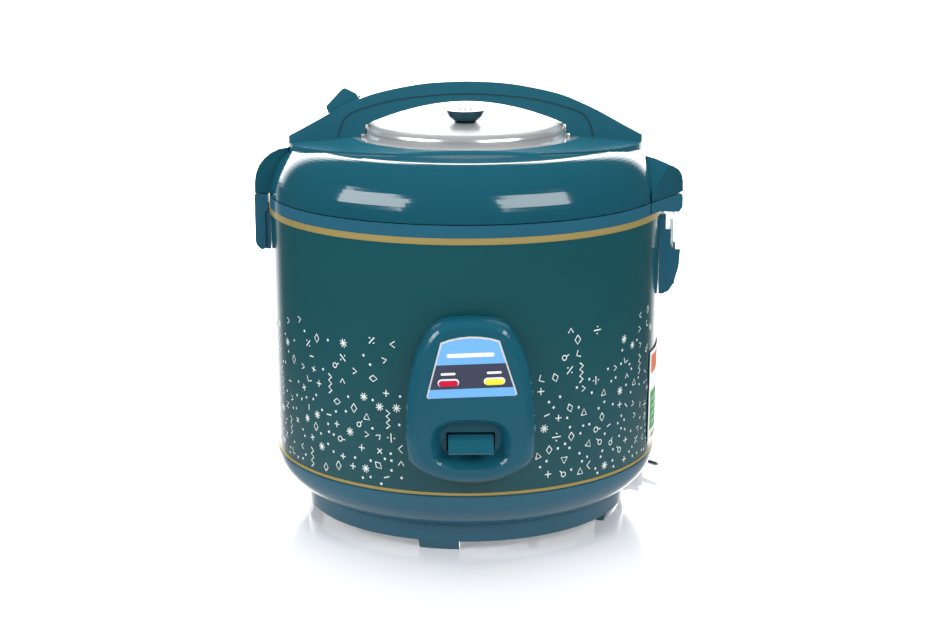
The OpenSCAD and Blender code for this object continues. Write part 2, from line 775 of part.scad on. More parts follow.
// Outer curve of the lid, from the seam to its nearly flat middle
function dome_r(a) = lid_flat_r + (lid_r - lid_flat_r) * pow(cos(a), 1.06);
function dome_z(a) = lid_z + lid_h * pow(sin(a), 1.06);
dome_curve = [for (i = [0:20]) let (a = 4.5 * i) [dome_r(a), i == 0 ? lid_z : dome_z(a)]];

// Solid dome with its outer surface drawn in by a distance
module dome(inset) {
    turned(concat([for (p = dome_curve) [p[0] - inset, p[1] - (p[1] > lid_z ? inset : 0)]],
        [[plate_r, plate_z - sheet_t - inset], [0, plate_z - sheet_t - inset], [0, lid_z]]));
}

module lid_shell() {
    color("#1f5a6b") difference() {
        dome(0);
        difference() {
            dome(wall);
            ring(plate_r - 6, plate_r - 3.5, lid_z + 1.25, 60);
        }
        // opening under the steel plate
        translate([0, 0, lid_z + 12]) cylinder(r = plate_r - 6, h = 40);
        // slot for the latch hook
        translate([-lid_r - 5, -5, lid_z - 1]) cube([28, 10, 30]);
        // slot for the hook's upper arm
        translate([-101, -5, plate_z - 20]) cube([19, 10, 24]);
        rod_y(hook_x, hook_z, hook_pin_r, -7.5, 7.5);
    }
}

module latch_cover() {
    out = latch_x;
    top = lid_z + 31.5;
    color("#1f5a6b") difference() {
        along_y(-latch_w, latch_w) polygon([[-120, lid_z], [-out, lid_z], [-out + 0.1, lid_z + 8],
            [-out + 1.1, lid_z + 14], [-out + 3.2, lid_z + 19], [-out + 6.6, lid_z + 23.6],
            [-out + 11.4, lid_z + 27.6], [-out + 17, lid_z + 30.4], [-out + 23.4, top]]);
        dome(0);
        base_block();
        // room for the hook
        intersection() {
            translate([-out + 1.8, -latch_w + 2, lid_z - 1]) cube([40, 2 * latch_w - 4, 30]);
            dome(-3.6);
        }
        translate([-out + 1.8, -latch_w + 2, lid_z - 1]) cube([9, 2 * latch_w - 4, 14.2]);
    }
}

module hinge_cover() {
    color("#1f5a6b") difference() {
        union() {
            difference() {
                intersection() {
                    translate([0, 0, lid_z]) linear_extrude(60) hinge_plan();
                    along_y(-80, 80) polygon([[100, lid_z], [hinge_out_x, lid_z],
                        [hinge_out_x - 0.3, lid_z + 8], [hinge_out_x - 1.7, lid_z + 12.6],
                        [hinge_out_x - 4.4, lid_z + 16.5], [hinge_out_x - 9.3, lid_z + 19.9],
                        [hinge_out_x - 14, lid_z + 22.3], [128, lid_z + 25], [112, lid_z + 28.6]]);
                    along_x(60, 160) polygon([[-60, lid_z], [-58, lid_z + 4], [-50, lid_z + 12],
                        [-38, lid_z + 20], [-24, lid_z + 27], [-10, lid_z + 30],
                        [10, lid_z + 30], [24, lid_z + 27], [38, lid_z + 20], [50, lid_z + 12],
                        [58, lid_z + 4], [60, lid_z]]);
                }
                dome(0);
                // hollow inside
                intersection() {
                    translate([0, 0, lid_z - 1]) linear_extrude(13)
                        polygon([[100, -40], [hinge_out_x - 2.4, -hinge_half_out + 3],
                            [hinge_out_x - 2.4, hinge_half_out - 3], [100, 40]]);
                    cylinder(r = hinge_x - 4.6, h = 400);
                }
            }
            for (s = [-1, 1]) hinge_knuckle(s);
        }
        rod_y(hinge_x, hinge_z, hinge_pin_r + pin_gap, -12, 12);
    }
}

// Knuckle on one side of the hinge spring
module hinge_knuckle(side) {
    y = side * (knuckle_y + 4) / 2;
    half = (knuckle_y - 4) / 2;
    rod_y(hinge_x, hinge_z, knuckle_r, y - half, y + half);
    translate([hinge_x - knuckle_r, y - half, hinge_z])
        cube([knuckle_r + 0.5, 2 * half, lid_z - hinge_z + 1]);
}

module hinge_pin() {
    color("silver") rod_y(hinge_x, hinge_z, hinge_pin_r, -14, 14);
}

module hinge_spring() {
    color("gray") translate([hinge_x, 3.4, hinge_z]) rotate([90, 0, 0])
        spring(2.3, 0.45, 0, 6.8, 6);
}

// ---- handle and steel plate ----

module top_plate() {
    foot_r = plate_r - 8;
    steps = 6;
    shoulder = [for (i = [0:steps]) let (a = 90 * i / steps)
        [foot_r - 7.5 + 5.5 * sin(a), plate_top - 5.5 + 5.5 * cos(a)]];
    under = [for (i = [steps:-1:0]) let (a = 90 * i / steps)
        [foot_r - 7.5 + (5.5 - sheet_t) * sin(a), plate_top - 5.5 + (5.5 - sheet_t) * cos(a)]];
    color("whitesmoke") difference() {
        turned(concat([[0, plate_top]], shoulder,
            [[foot_r - 0.8, plate_z + 0.9], [foot_r + 1, plate_z], [plate_r, plate_z],
                [plate_r, plate_z - sheet_t], [foot_r + 0.6, plate_z - sheet_t],
                [foot_r - 1.6, plate_z + 0.4]],
            under, [[0, plate_top - sheet_t]]));
        translate([0, 2, plate_z]) cylinder(r = 9, h = 20);
    }
}

// Oval outline of the handle base
module oval(a, b) {
    polygon([for (i = [0:95]) let (t = 3.75 * i) [a * cos(t), b * sin(t)]]);
}

// Block of the handle base, before it is cut to the lid
module base_block() {
    intersection() {
        translate([0, 0, lid_z + 5]) linear_extrude(60) oval(handle_l, plate_r + 9.5);
        along_x(-130, 130) polygon([[-plate_r - 3.4, lid_z + 5], [plate_r + 3.4, lid_z + 5],
            [plate_r + 3.4, lid_top + 0.5], [plate_r + 1, handle_z + 1],
            [-plate_r - 1, handle_z + 1], [-plate_r - 3.4, lid_top + 0.5]]);
        turned([[0, lid_z + 5], [handle_l + 5, lid_z + 5], [handle_l + 5, handle_z - 4.6],
            [handle_l - 6, handle_z - 3.6], [plate_r + 14, handle_z - 1.6],
            [plate_r + 1, handle_z], [0, handle_z]]);
    }
}

module handle_base() {
    color("#2a6374") difference() {
        base_block();
        dome(0);
        // the steel plate shows between the legs
        translate([0, 0, lid_z]) cylinder(r = plate_r - 6, h = 40);
        translate([0, 0, plate_z - sheet_t - 0.02]) cylinder(r = plate_r + 0.3, h = 40);
        // slot for the hook's arm and the button's stem
        translate([-101, -5, lid_z]) cube([19, 10, 60]);
    }
}

// Upper curve of the arch, as shares of the handle's length and height
arch_curve = smooth_path([[0, 1], [0.2, 0.97], [0.37, 0.885], [0.53, 0.76], [0.65, 0.6],
    [0.745, 0.45], [0.82, 0.315], [0.91, 0.155], [1, 0]], 4);
// Height of the arch's upper curve over the handle base at a distance x from the middle
function arch_top(x) = arch_h * lookup(abs(x) / handle_l, arch_curve);
// Height of the arch's lower curve, above the opening
function arch_low(x) = arch_h - arch_t - (arch_h - arch_t - 9) * pow(abs(x) / opening_w, 1.9);

grip_x = 87;

// Lower edge of each leg, which follows the handle base and then the steel plate's rim
leg_edge = [[handle_l, handle_z - 4.5], [handle_l - 6, handle_z - 3.8],
    [plate_r + 14, handle_z - 1.8], [plate_r + 0.4, handle_z - 0.2],
    [plate_r + 0.4, plate_z + 0.02], [opening_w, plate_z + 0.02]];

module arch_outline() {
    top = [for (i = [-30:30]) let (x = handle_l * i / 30) [x, handle_z + arch_top(x)]];
    low = [for (i = [12:-1:-12]) let (x = opening_w * i / 12) [x, handle_z + arch_low(x)]];
    polygon(concat(top, leg_edge, low, [for (i = [5:-1:0]) [-leg_edge[i][0], leg_edge[i][1]]]));
}

// Room for the raised middle of the steel plate
module plate_room() {
    translate([0, 0, lid_z]) cylinder(r = plate_r - 9.4, h = plate_top + 0.4 - lid_z);
    translate([0, 0, lid_z]) cylinder(r = plate_r - 6.7, h = plate_z + 2.3 - lid_z);
}

// Region of the separate grip insert on the underside of the arch
module grip_outline() {
    pts = smooth_path([[-grip_x, -4], [-grip_x + 1, 5], [-80, 15], [-64, 21], [-44, 25.6], [-20, 28.2],
        [0, 29]], 3);
    polygon(concat([for (p = pts) [p[0], handle_z + p[1]]],
        [for (i = [len(pts) - 2:-1:0]) [-pts[i][0], handle_z + pts[i][1]]]));
}

// Space that the button's head and its spring need in the handle
module button_pocket(gap) {
    at_button() translate([-10.6 - gap, -7 - gap, -9]) cube([22.8 + 2 * gap, 14 + 2 * gap, 40]);
}

module handle_arch() {
    color("#235b6c") difference() {
        intersection() {
            along_y(-handle_w, handle_w) difference() {
                arch_outline();
                grip_outline();
            }
            translate([0, 0, lid_z]) linear_extrude(120) oval(handle_l, plate_r + 9.5);
        }
        // groove for the trim strip
        along_y(-8.4, 8.4) polygon(concat(
            [for (i = [-16:20]) let (x = 96 * i / 20) [x, handle_z + arch_top(x) - 0.8]],
            [[96, handle_z + 60], [-76.8, handle_z + 60]]));
        button_pocket(0.4);
        // way for the button's stem
        translate([stem_x - 1.4, -4.4, lid_z]) cube([6, 8.8, 62]);
    }
}

module handle_grip() {
    color("#235b6c") difference() {
        along_y(-handle_w + 0.4, handle_w - 0.4) intersection() {
            arch_outline();
            grip_outline();
        }
        plate_room();
        button_pocket(0.5);
    }
}

module handle_trim() {
    color("silver") difference() {
        along_y(-8.2, 8.2) polygon(concat(
            [for (i = [-16:20]) let (x = 95 * i / 20) [x, handle_z + arch_top(x) + 0.1]],
            [for (i = [20:-1:-16]) let (x = 95 * i / 20) [x, handle_z + arch_top(x) - 0.7]]));
        button_pocket(1);
    }
}

// Children are drawn at the release button, with -Z along its stroke
module at_button() {
    translate([button_x, 0, handle_z + arch_top(button_x)]) rotate([0, -button_tilt, 0])
        children();
}

module release_button() {
    color("#235b6c") union() {
        at_button() along_y(-7, 7) polygon([[-10.6, -4], [-10.6, 4.2], [-9.6, 5.4], [5.6, 9.9],
            [7.6, 9.6], [12.2, 2.6], [12.2, -4]]);
        translate([stem_x, -4, arm_z + 0.5]) cube([3, 8, handle_z + 15 - arm_z]);
    }
}

module button_spring() {
    color("gray") at_button() translate([4, 0, 0]) spring(4, 0.5, -9, 4.9, 3);
}

module latch_hook() {
    arm_x = -body_r - 3.9;
    color("#3a3a3a") difference() {
        union() {
            rod_y(hook_x, hook_z, 4, -4, 4);
            // lower arm with its claw
            along_y(-4, 4) polygon([[hook_x - 3.9, hook_z], [arm_x - 1.5, seam_z + 6],
                [arm_x - 1.5, seam_z - 10], [arm_x, seam_z - 10], [arm_x, seam_z + 2],
                [-lid_r + 2.5, seam_z + 10], [hook_x + 3, hook_z - 2]]);
            // upper arm towards the release button
            along_y(-3.6, 3.6) polygon([[hook_x - 1, hook_z + 3.6], [hook_x + 2, hook_z - 2.6],
                [-104, arm_z - 6.6], [-86, arm_z - 2.6], [-86, arm_z], [-96, arm_z],
                [-98.5, arm_z - 2.4], [-104, arm_z - 3.1]]);
        }
        rod_y(hook_x, hook_z, hook_pin_r + pin_gap, -10, 10);
    }
}

module hook_pin() {
    color("silver") rod_y(hook_x, hook_z, hook_pin_r, -7.5, 7.5);
}

// ---- steam vent ----

module steam_cap() {
    z = plate_top;
    color("#17414f") translate([0, 2, 0]) difference() {
        union() {
            turned([[0, z + 0.3], [6.5, z + 0.3], [9.4, z + 1.6], [11.8, z + 4], [13, z + 6.4],
                [cap_r, z + cap_h - 0.4], [cap_r - 0.5, z + cap_h], [0, z + cap_h]]);
            ring(4.6, 6.2, z - 5, 5.4);
        }
        translate([0, 0, z - 6]) cylinder(r = 4.6, h = 9);
        for (i = [-2:2]) translate([3.7 * i, 0, z + 2]) linear_extrude(20)
            rotate([0, 0, 90]) slot_2d(abs(i) == 2 ? 2.6 : 7, 1.3);
    }
}

module steam_valve() {
    z = plate_top;
    color("#2b2b2b") translate([0, 2, 0]) {
        ring(6.5, 8.9, plate_z - 12, z - plate_z + 12);
        ring(8.8, 14, plate_z - 12, 2);
    }
}

// ---- inside of the lid ----

module lid_liner() {
    color("#cfd6d8") difference() {
        turned([[0, lid_z - 1], [pot_r - 4, lid_z - 1], [pot_r - 1, lid_z + 0.1],
            [lid_r - wall - 0.6, lid_z + 0.1], [lid_r - wall - 0.6, lid_z + 2.3],
            [pot_r - 2, lid_z + 2.3], [pot_r - 5, lid_z + 1.2], [0, lid_z + 1.2]]);
        translate([0, 2, lid_z - 5]) cylinder(r = 6, h = 20);
        translate([-lid_r - 5, -6, lid_z - 5]) cube([26, 12, 20]);
    }
}

module inner_lid() {
    z = rim_z + 3.4;
    color("gainsboro") difference() {
        turned([[0, z + 1.2], [40, z + 0.8], [pot_r - 6, z - 2], [pot_r - 3.3, z - 2],
            [pot_r - 3.3, z - 1.2], [pot_r - 6, z - 1.2], [40, z + 1.6], [0, z + 2]]);
        for (a = [0:60:300]) at_heading(a, 18) translate([0, 0, z - 5]) cylinder(r = 2, h = 10);
    }
}

module lid_gasket() {
    color("#e8e8e8") turned([[pot_r - 3.2, rim_z + 1.2], [pot_r + 1, rim_z + 0.4],
        [pot_r + 6, rim_z + 0.4], [pot_r + 4, rim_z + 2.2], [pot_r + 1, lid_z - 0.9],
        [pot_r - 3.2, lid_z - 1]]);
}

outer_shell();
upper_gold_band();
lower_gold_band();
body_collar();
base_moulding();
bottom_plate();
base_screws();
inner_jacket();
keep_warm_heater();
heating_plate();
inner_pot();
thermostat_bracket();
thermostat_cap();
sensor_spring();
link_bar();
lift_magnet();
microswitch();
thermal_fuse();
terminal_block();
wire_harness();
control_housing();
panel_label();
cook_lens();
warm_lens();
lamp_holder();
switch_lever();
lever_pin();
power_inlet();
mains_connector();
cord_lead_in();
cord_coil();
cord_lead_out();
plug_body();
plug_pins();
latch_catch();
catch_cover();
dew_holder();
dew_cup();
dew_cover();
energy_sticker();
hinge_pin();
hinge_spring();
lid_shell();
latch_cover();
hinge_cover();
handle_base();
top_plate();
handle_arch();
handle_grip();
handle_trim();
release_button();
button_spring();
latch_hook();
hook_pin();
steam_cap();
steam_valve();
lid_liner();
inner_lid();
lid_gasket();
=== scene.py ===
import math
import random

import bmesh
import bpy
from mathutils import Matrix, Vector


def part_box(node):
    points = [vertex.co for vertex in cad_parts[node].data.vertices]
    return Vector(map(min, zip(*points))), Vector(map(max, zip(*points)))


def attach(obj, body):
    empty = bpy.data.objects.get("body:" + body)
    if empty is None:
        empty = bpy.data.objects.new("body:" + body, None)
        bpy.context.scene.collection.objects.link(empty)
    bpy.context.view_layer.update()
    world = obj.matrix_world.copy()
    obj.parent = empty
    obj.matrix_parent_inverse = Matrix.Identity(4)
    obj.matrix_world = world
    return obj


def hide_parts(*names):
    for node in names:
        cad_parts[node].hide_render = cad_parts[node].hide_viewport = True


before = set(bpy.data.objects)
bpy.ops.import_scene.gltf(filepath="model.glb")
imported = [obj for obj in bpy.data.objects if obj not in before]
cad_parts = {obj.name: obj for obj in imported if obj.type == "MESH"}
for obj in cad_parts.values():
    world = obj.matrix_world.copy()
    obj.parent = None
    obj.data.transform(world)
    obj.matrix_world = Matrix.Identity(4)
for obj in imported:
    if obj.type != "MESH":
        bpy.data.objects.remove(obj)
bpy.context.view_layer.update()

# ---- The studio's camera ----
# A long lens on a tripod, a little above the lid and looking down on it.
# It stands just left of the control panel's own line.
eye = Vector((-0.0282, -1.2631, 0.4404))
camera_data = bpy.data.cameras.new("studio_camera")
camera_data.sensor_width = 36.0
camera_data.lens = 70.11
camera = bpy.data.objects.new("studio_camera", camera_data)
camera.location = eye
camera.rotation_euler = (math.radians(90 - 13.64), 0, math.radians(-1.5))
bpy.context.collection.objects.link(camera)
bpy.context.scene.camera = camera

# ---- Mains lead ----
# Three-core PVC flex, 6.6 mm across, drawn over the cores while hot, so its skin is
# smooth and satin. It is wound into a coil and held by a wire tie behind the body.
lead_d = 0.0066
lead_in = [(-38, 150, 27), (-48, 149.6, 26.6), (-58, 149.6, 25.4), (-68, 150.2, 23.4),
           (-78, 152.2, 21), (-87.5, 156.4, 18.9), (-95, 163.2, 17.4), (-100.4, 172, 16.4),
           (-102.8, 180, 15.8), (-103.3, 186, 15.4)]
lead_out = [(-20.7, 186, 3.4), (-19.6, 178, 3.4), (-16.2, 170.5, 3.4), (-9.8, 163, 3.4),
            (-1, 157.8, 3.4), (9.3, 156, 3.4), (25, 154.3, 3.4), (40, 149.8, 3.4),
            (53, 142.6, 3.4), (64.5, 132.6, 3.8), (74.5, 120.2, 5.4), (82, 109.8, 7),
            (88.4, 100.8, 8)]


def smooth_line(points, steps):
    """A curve through all the points, as the lead's own stiffness would bend it."""
    line = []
    last = len(points) - 1
    for i in range(last):
        a, b = Vector(points[max(i - 1, 0)]), Vector(points[i])
        c, d = Vector(points[i + 1]), Vector(points[min(i + 2, last)])
        for k in range(steps):
            t = k / steps
            line.append(0.5 * (2 * b + (c - a) * t + (2 * a - 5 * b + 4 * c - d) * t * t
                               + (3 * b - a - 3 * c + d) * t ** 3))
    line.append(Vector(points[last]))
    return line


def eased(t):
    """From 0 to 1 with a level start and end."""
    t = min(max(t, 0.0), 1.0)
    return t * t * (3 - 2 * t)


coil_line = []
for i in range(1, 168):
    turn = i * 7.5
    column = 41.3 - 6.6 * eased((turn - 285) / 65) + 6.6 * eased((turn - 1060) / 60)
    layer = 15.4 - 5.4 * eased(turn / 80) - 6.6 * eased((turn - 660) / 60)
    angle = math.radians(180 - turn)
    coil_line.append(Vector((-62 + column * math.cos(angle), 186 + column * math.sin(angle),
                             layer)))
lead_line = [p / 1000 for p in smooth_line(lead_in, 4) + coil_line + smooth_line(lead_out, 4)]

lead_curve = bpy.data.curves.new("mains_lead", "CURVE")
lead_curve.dimensions = "3D"
lead_skin_r = lead_d / 2 * 0.995
lead_curve.bevel_depth = 1.0
lead_curve.bevel_resolution = 4
lead_curve.use_fill_caps = True
spline = lead_curve.splines.new("POLY")
spline.points.add(len(lead_line) - 1)
for point, place in zip(spline.points, lead_line):
    point.co = (*place, 1)
    point.radius = lead_skin_r
spline.use_smooth = True
mains_lead = bpy.data.objects.new("mains_lead", lead_curve)
bpy.context.collection.objects.link(mains_lead)
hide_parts("cord_lead_in", "cord_coil", "cord_lead_out")
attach(mains_lead, "cooker")


def linear(code):
    """An sRGB hex colour, turned to the linear values that a shader takes."""
    parts = [int(code[i:i + 2], 16) / 255 for i in (1, 3, 5)]
    return tuple(c / 12.92 if c <= 0.04045 else ((c + 0.055) / 1.055) ** 2.4
                 for c in parts) + (1.0,)


def add_node(tree, kind, inputs=None, **settings):
    """Adds a node, sets it up, and links or sets its inputs."""
    node = tree.nodes.new(kind)
    for name, value in settings.items():
        setattr(node, name, value)
    for socket, value in (inputs or {}).items():
        if isinstance(value, bpy.types.NodeSocket):
            tree.links.new(value, node.inputs[socket])
        else:
            node.inputs[socket].default_value = value
    return node


def new_material(name, colour, roughness, metallic=0.0, ior=1.5):
    """A material with its surface shader, whose plain values sit on its own sockets."""
    material = bpy.data.materials.new(name)
    material.use_nodes = True
    shader = material.node_tree.nodes["Principled BSDF"]
    shader.inputs["Base Color"].default_value = linear(colour)
    shader.inputs["Roughness"].default_value = roughness
    shader.inputs["Metallic"].default_value = metallic
    shader.inputs["IOR"].default_value = ior
    material.diffuse_color = linear(colour)
    return material, material.node_tree, shader


def finish_with(node_name, material):
    """Gives a CAD piece its finish."""
    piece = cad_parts[node_name]
    piece.data.materials.clear()
    piece.data.materials.append(material)


# PVC is slightly soft, so its gloss is broken by fine handling marks about 2 mm long.
flex_pvc, tree, shader = new_material("extruded_pvc_black", "#171717", 0.42, ior=1.53)
place = add_node(tree, "ShaderNodeTexCoord")
marks = add_node(tree, "ShaderNodeTexNoise", {"Vector": place.outputs["Object"], "Scale": 500.0,
                                              "Detail": 3.0})
gloss = add_node(tree, "ShaderNodeMapRange", {"Value": marks.outputs["Fac"], "To Min": 0.34,
                                              "To Max": 0.5})
tree.links.new(gloss.outputs["Result"], shader.inputs["Roughness"])
skin = add_node(tree, "ShaderNodeBump", {"Height": marks.outputs["Fac"], "Strength": 0.15,
                                         "Distance": 0.0002})
tree.links.new(skin.outputs["Normal"], shader.inputs["Normal"])
mains_lead.data.materials.append(flex_pvc)

# The plug and the angled connector are moulded round the lead from the same black PVC,
# with a spark-eroded grip texture of about 0.6 mm grain.
moulded_pvc, tree, shader = new_material("moulded_pvc_black", "#1c1c1d", 0.45, ior=1.53)
place = add_node(tree, "ShaderNodeTexCoord")
grain = add_node(tree, "ShaderNodeTexVoronoi", {"Vector": place.outputs["Object"],
                                                "Scale": 1600.0})
skin = add_node(tree, "ShaderNodeBump", {"Height": grain.outputs["Distance"], "Strength": 0.25,
                                         "Distance": 0.0002})
tree.links.new(skin.outputs["Normal"], shader.inputs["Normal"])
for name in ("mains_connector", "plug_body", "power_inlet"):
    finish_with(name, moulded_pvc)

# Plug pins are turned brass with a bright nickel plate, so they are smooth and silvery.
# The half next to the plug wears a black nylon sleeve.
pin_plate, tree, shader = new_material("nickel_plated_brass", "#d8d5cc", 0.18, metallic=1.0)
place = add_node(tree, "ShaderNodeTexCoord")
wear = add_node(tree, "ShaderNodeTexNoise", {"Vector": place.outputs["Object"], "Scale": 900.0,
                                             "Detail": 4.0})
gloss = add_node(tree, "ShaderNodeMapRange", {"Value": wear.outputs["Fac"], "To Min": 0.12,
                                              "To Max": 0.3})
tree.links.new(gloss.outputs["Result"], shader.inputs["Roughness"])
finish_with("plug_pins", pin_plate)


def mesh_piece(name, verts, faces, material, body, smooth=True):
    """Makes a mesh piece that rides on a body and takes its finish from a slot."""
    mesh = bpy.data.meshes.new(name)
    mesh.from_pydata([tuple(v) for v in verts], [], faces)
    mesh.validate()
    mesh.update()
    mesh.shade_smooth() if smooth else mesh.shade_flat()
    piece = bpy.data.objects.new(name, mesh)
    bpy.context.collection.objects.link(piece)
    mesh.materials.append(material)
    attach(piece, body)
    return piece


def lathe(profile, sides=24, arc=360.0):
    """Points and faces of a profile of (radius, height) turned about Z."""
    closed = arc >= 360
    steps = sides if closed else sides + 1
    verts = [Vector((r * math.cos(math.radians(arc * k / sides)),
                     r * math.sin(math.radians(arc * k / sides)), z))
             for k in range(steps) for r, z in profile]
    n = len(profile)
    faces = [(k * n + i, ((k + 1) % steps) * n + i, ((k + 1) % steps) * n + (i + 1) % n,
              k * n + (i + 1) % n)
             for k in range(sides) for i in range(n)]
    return verts, faces


sleeve_nylon, tree, shader = new_material("nylon_sleeve_black", "#101010", 0.35, ior=1.53)
place = add_node(tree, "ShaderNodeTexCoord")
flow = add_node(tree, "ShaderNodeTexNoise", {"Vector": place.outputs["Object"], "Scale": 1200.0})
skin = add_node(tree, "ShaderNodeBump", {"Height": flow.outputs["Fac"], "Strength": 0.1,
                                         "Distance": 0.0001})
tree.links.new(skin.outputs["Normal"], shader.inputs["Normal"])
plug_face = Vector((0.125, 0.052, 0.008))
plug_turn = Matrix.Rotation(math.radians(-53.13), 4, "Z")
for side in (-1, 1):
    verts, faces = lathe([(0.00197, 0.0), (0.00205, 0.0001), (0.00205, 0.0088),
                          (0.00197, 0.0090)], 20)
    along = Matrix.Rotation(math.radians(90), 4, "Y")
    verts = [plug_face + plug_turn @ (along @ v + Vector((0, side * 0.0095, 0))) for v in verts]
    mesh_piece(f"pin_sleeve_{'a' if side < 0 else 'b'}", verts, faces,
                              sleeve_nylon, "cooker")

# The tie is a plastic-coated wire, 4 mm wide, wrapped once round all the coil's turns
# and twisted on the outside.
tie_vinyl, tree, shader = new_material("tie_vinyl_white", "#dcdcd8", 0.5, ior=1.52)
place = add_node(tree, "ShaderNodeTexCoord")
pleat = add_node(tree, "ShaderNodeTexWave", {"Vector": place.outputs["Object"], "Scale": 300.0})
skin = add_node(tree, "ShaderNodeBump", {"Height": pleat.outputs["Fac"], "Strength": 0.2,
                                         "Distance": 0.0002})
tree.links.new(skin.outputs["Normal"], shader.inputs["Normal"])
tie_loop = [(30.6, 0.4), (30.6, 13.0), (33, 14.2), (43, 14.2), (45.2, 12.5), (45.2, 1.2),
            (43, 0.3), (33, 0.3)]
verts = []
for r, z in tie_loop:
    for y in (-2.0, 2.0):
        verts.append(Vector((-62 + r * math.cos(0.9) - y * math.sin(0.9),
                             186 + r * math.sin(0.9) + y * math.cos(0.9), z)) / 1000)
n = len(tie_loop)
faces = [(2 * i, 2 * i + 1, (2 * i + 3) % (2 * n), (2 * i + 2) % (2 * n)) for i in range(n)]
coil_tie = mesh_piece("coil_tie", verts, faces, tie_vinyl, "cooker")
thick = coil_tie.modifiers.new("gauge", "SOLIDIFY")
thick.thickness = 0.0006

# ---- Base moulding, collar and the other teal mouldings ----
# They are injection-moulded ABS in one teal masterbatch. The mould is polished, so the
# gloss is high, with the faint orange peel that cooling leaves at about 3 mm.


def moulded_teal(name, colour, roughness):
    material, tree, shader = new_material(name, colour, roughness, ior=1.53)
    place = add_node(tree, "ShaderNodeTexCoord")
    cloud = add_node(tree, "ShaderNodeTexNoise", {"Vector": place.outputs["Object"],
                                                  "Scale": 14.0, "Detail": 3.0})
    deep = [c * 0.93 for c in linear(colour)[:3]] + [1.0]
    light = [c * 1.07 for c in linear(colour)[:3]] + [1.0]
    tone = add_node(tree, "ShaderNodeMix", {"Factor": cloud.outputs["Fac"]}, data_type="RGBA")
    tone.inputs[6].default_value = deep
    tone.inputs[7].default_value = light
    tree.links.new(tone.outputs[2], shader.inputs["Base Color"])
    peel = add_node(tree, "ShaderNodeTexNoise", {"Vector": place.outputs["Object"],
                                                 "Scale": 330.0, "Detail": 1.0})
    dust = add_node(tree, "ShaderNodeTexNoise", {"Vector": place.outputs["Object"],
                                                 "Scale": 2600.0, "Detail": 2.0})
    haze = add_node(tree, "ShaderNodeMapRange", {"Value": dust.outputs["Fac"],
                                                 "From Min": 0.35, "From Max": 0.75,
                                                 "To Min": roughness - 0.03,
                                                 "To Max": roughness + 0.06})
    tree.links.new(haze.outputs["Result"], shader.inputs["Roughness"])
    skin = add_node(tree, "ShaderNodeBump", {"Height": peel.outputs["Fac"], "Strength": 0.05,
                                             "Distance": 0.0003})
    tree.links.new(skin.outputs["Normal"], shader.inputs["Normal"])
    return material


def softened(node_name, width):
    """A small moulded radius on a CAD piece's sharp edges."""
    round_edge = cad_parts[node_name].modifiers.new("moulded_radius", "BEVEL")
    round_edge.width = width
    round_edge.segments = 2
    round_edge.limit_method = "ANGLE"
    round_edge.angle_limit = math.radians(40)
    round_edge.harden_normals = True


base_abs = moulded_teal("moulded_abs_teal", "#22596e", 0.16)
for name in ("base_moulding", "body_collar"):
    finish_with(name, base_abs)

# ---- Bottom plate and screws ----
# The plate is galvanised sheet steel, pressed with vents, and three zinc-plated screws
# hold it to the moulding's bosses.
zinc_sheet, tree, shader = new_material("galvanised_sheet_steel", "#a9adb0", 0.38, metallic=1.0)
place = add_node(tree, "ShaderNodeTexCoord")
spangle = add_node(tree, "ShaderNodeTexVoronoi", {"Vector": place.outputs["Object"],
                                                  "Scale": 140.0})
tone = add_node(tree, "ShaderNodeMapRange", {"Value": spangle.outputs["Distance"],
                                             "To Min": 0.3, "To Max": 0.5})
tree.links.new(tone.outputs["Result"], shader.inputs["Roughness"])
for name in ("bottom_plate", "base_screws", "thermostat_bracket", "link_bar", "lever_pin",
             "hinge_pin", "hook_pin", "sensor_spring", "hinge_spring", "button_spring",
             "inner_jacket", "keep_warm_heater"):
    finish_with(name, zinc_sheet)

# ---- Painted shell ----
# Rolled sheet steel with a baked dark teal enamel under a clear coat: a smooth, deep
# gloss, with only a slight unevenness in its tone.
shell_enamel, tree, shader = new_material("baked_enamel_dark_teal", "#0b484f", 0.2, ior=1.5)
place = add_node(tree, "ShaderNodeTexCoord")
cloud = add_node(tree, "ShaderNodeTexNoise", {"Vector": place.outputs["Object"], "Scale": 9.0,
                                              "Detail": 2.0})
tone = add_node(tree, "ShaderNodeMix", {"Factor": cloud.outputs["Fac"]}, data_type="RGBA")
tone.inputs[6].default_value = linear("#0a464d")
tone.inputs[7].default_value = linear("#0d4b52")
tree.links.new(tone.outputs[2], shader.inputs["Base Color"])
peel = add_node(tree, "ShaderNodeTexNoise", {"Vector": place.outputs["Object"], "Scale": 420.0})
skin = add_node(tree, "ShaderNodeBump", {"Height": peel.outputs["Fac"], "Strength": 0.04,
                                         "Distance": 0.0003})
tree.links.new(skin.outputs["Normal"], shader.inputs["Normal"])
shader.inputs["Coat Weight"].default_value = 0.35
shader.inputs["Coat Roughness"].default_value = 0.08
finish_with("outer_shell", shell_enamel)

# The upper and lower bands are gold hot-stamped foil on a thin steel strip: metallic,
# with fine lines along the strip from rolling.
gold_foil, tree, shader = new_material("gold_foil_band", "#b8a566", 0.34, metallic=0.5)
place = add_node(tree, "ShaderNodeTexCoord")
stretch = add_node(tree, "ShaderNodeMapping", {"Vector": place.outputs["Object"],
                                               "Scale": (20.0, 20.0, 4000.0)})
lines = add_node(tree, "ShaderNodeTexNoise", {"Vector": stretch.outputs["Vector"],
                                              "Scale": 1.0, "Detail": 2.0})
gloss = add_node(tree, "ShaderNodeMapRange", {"Value": lines.outputs["Fac"], "To Min": 0.22,
                                              "To Max": 0.42})
tree.links.new(gloss.outputs["Result"], shader.inputs["Roughness"])
for name in ("upper_gold_band", "lower_gold_band"):
    finish_with(name, gold_foil)
    softened(name, 0.00025)

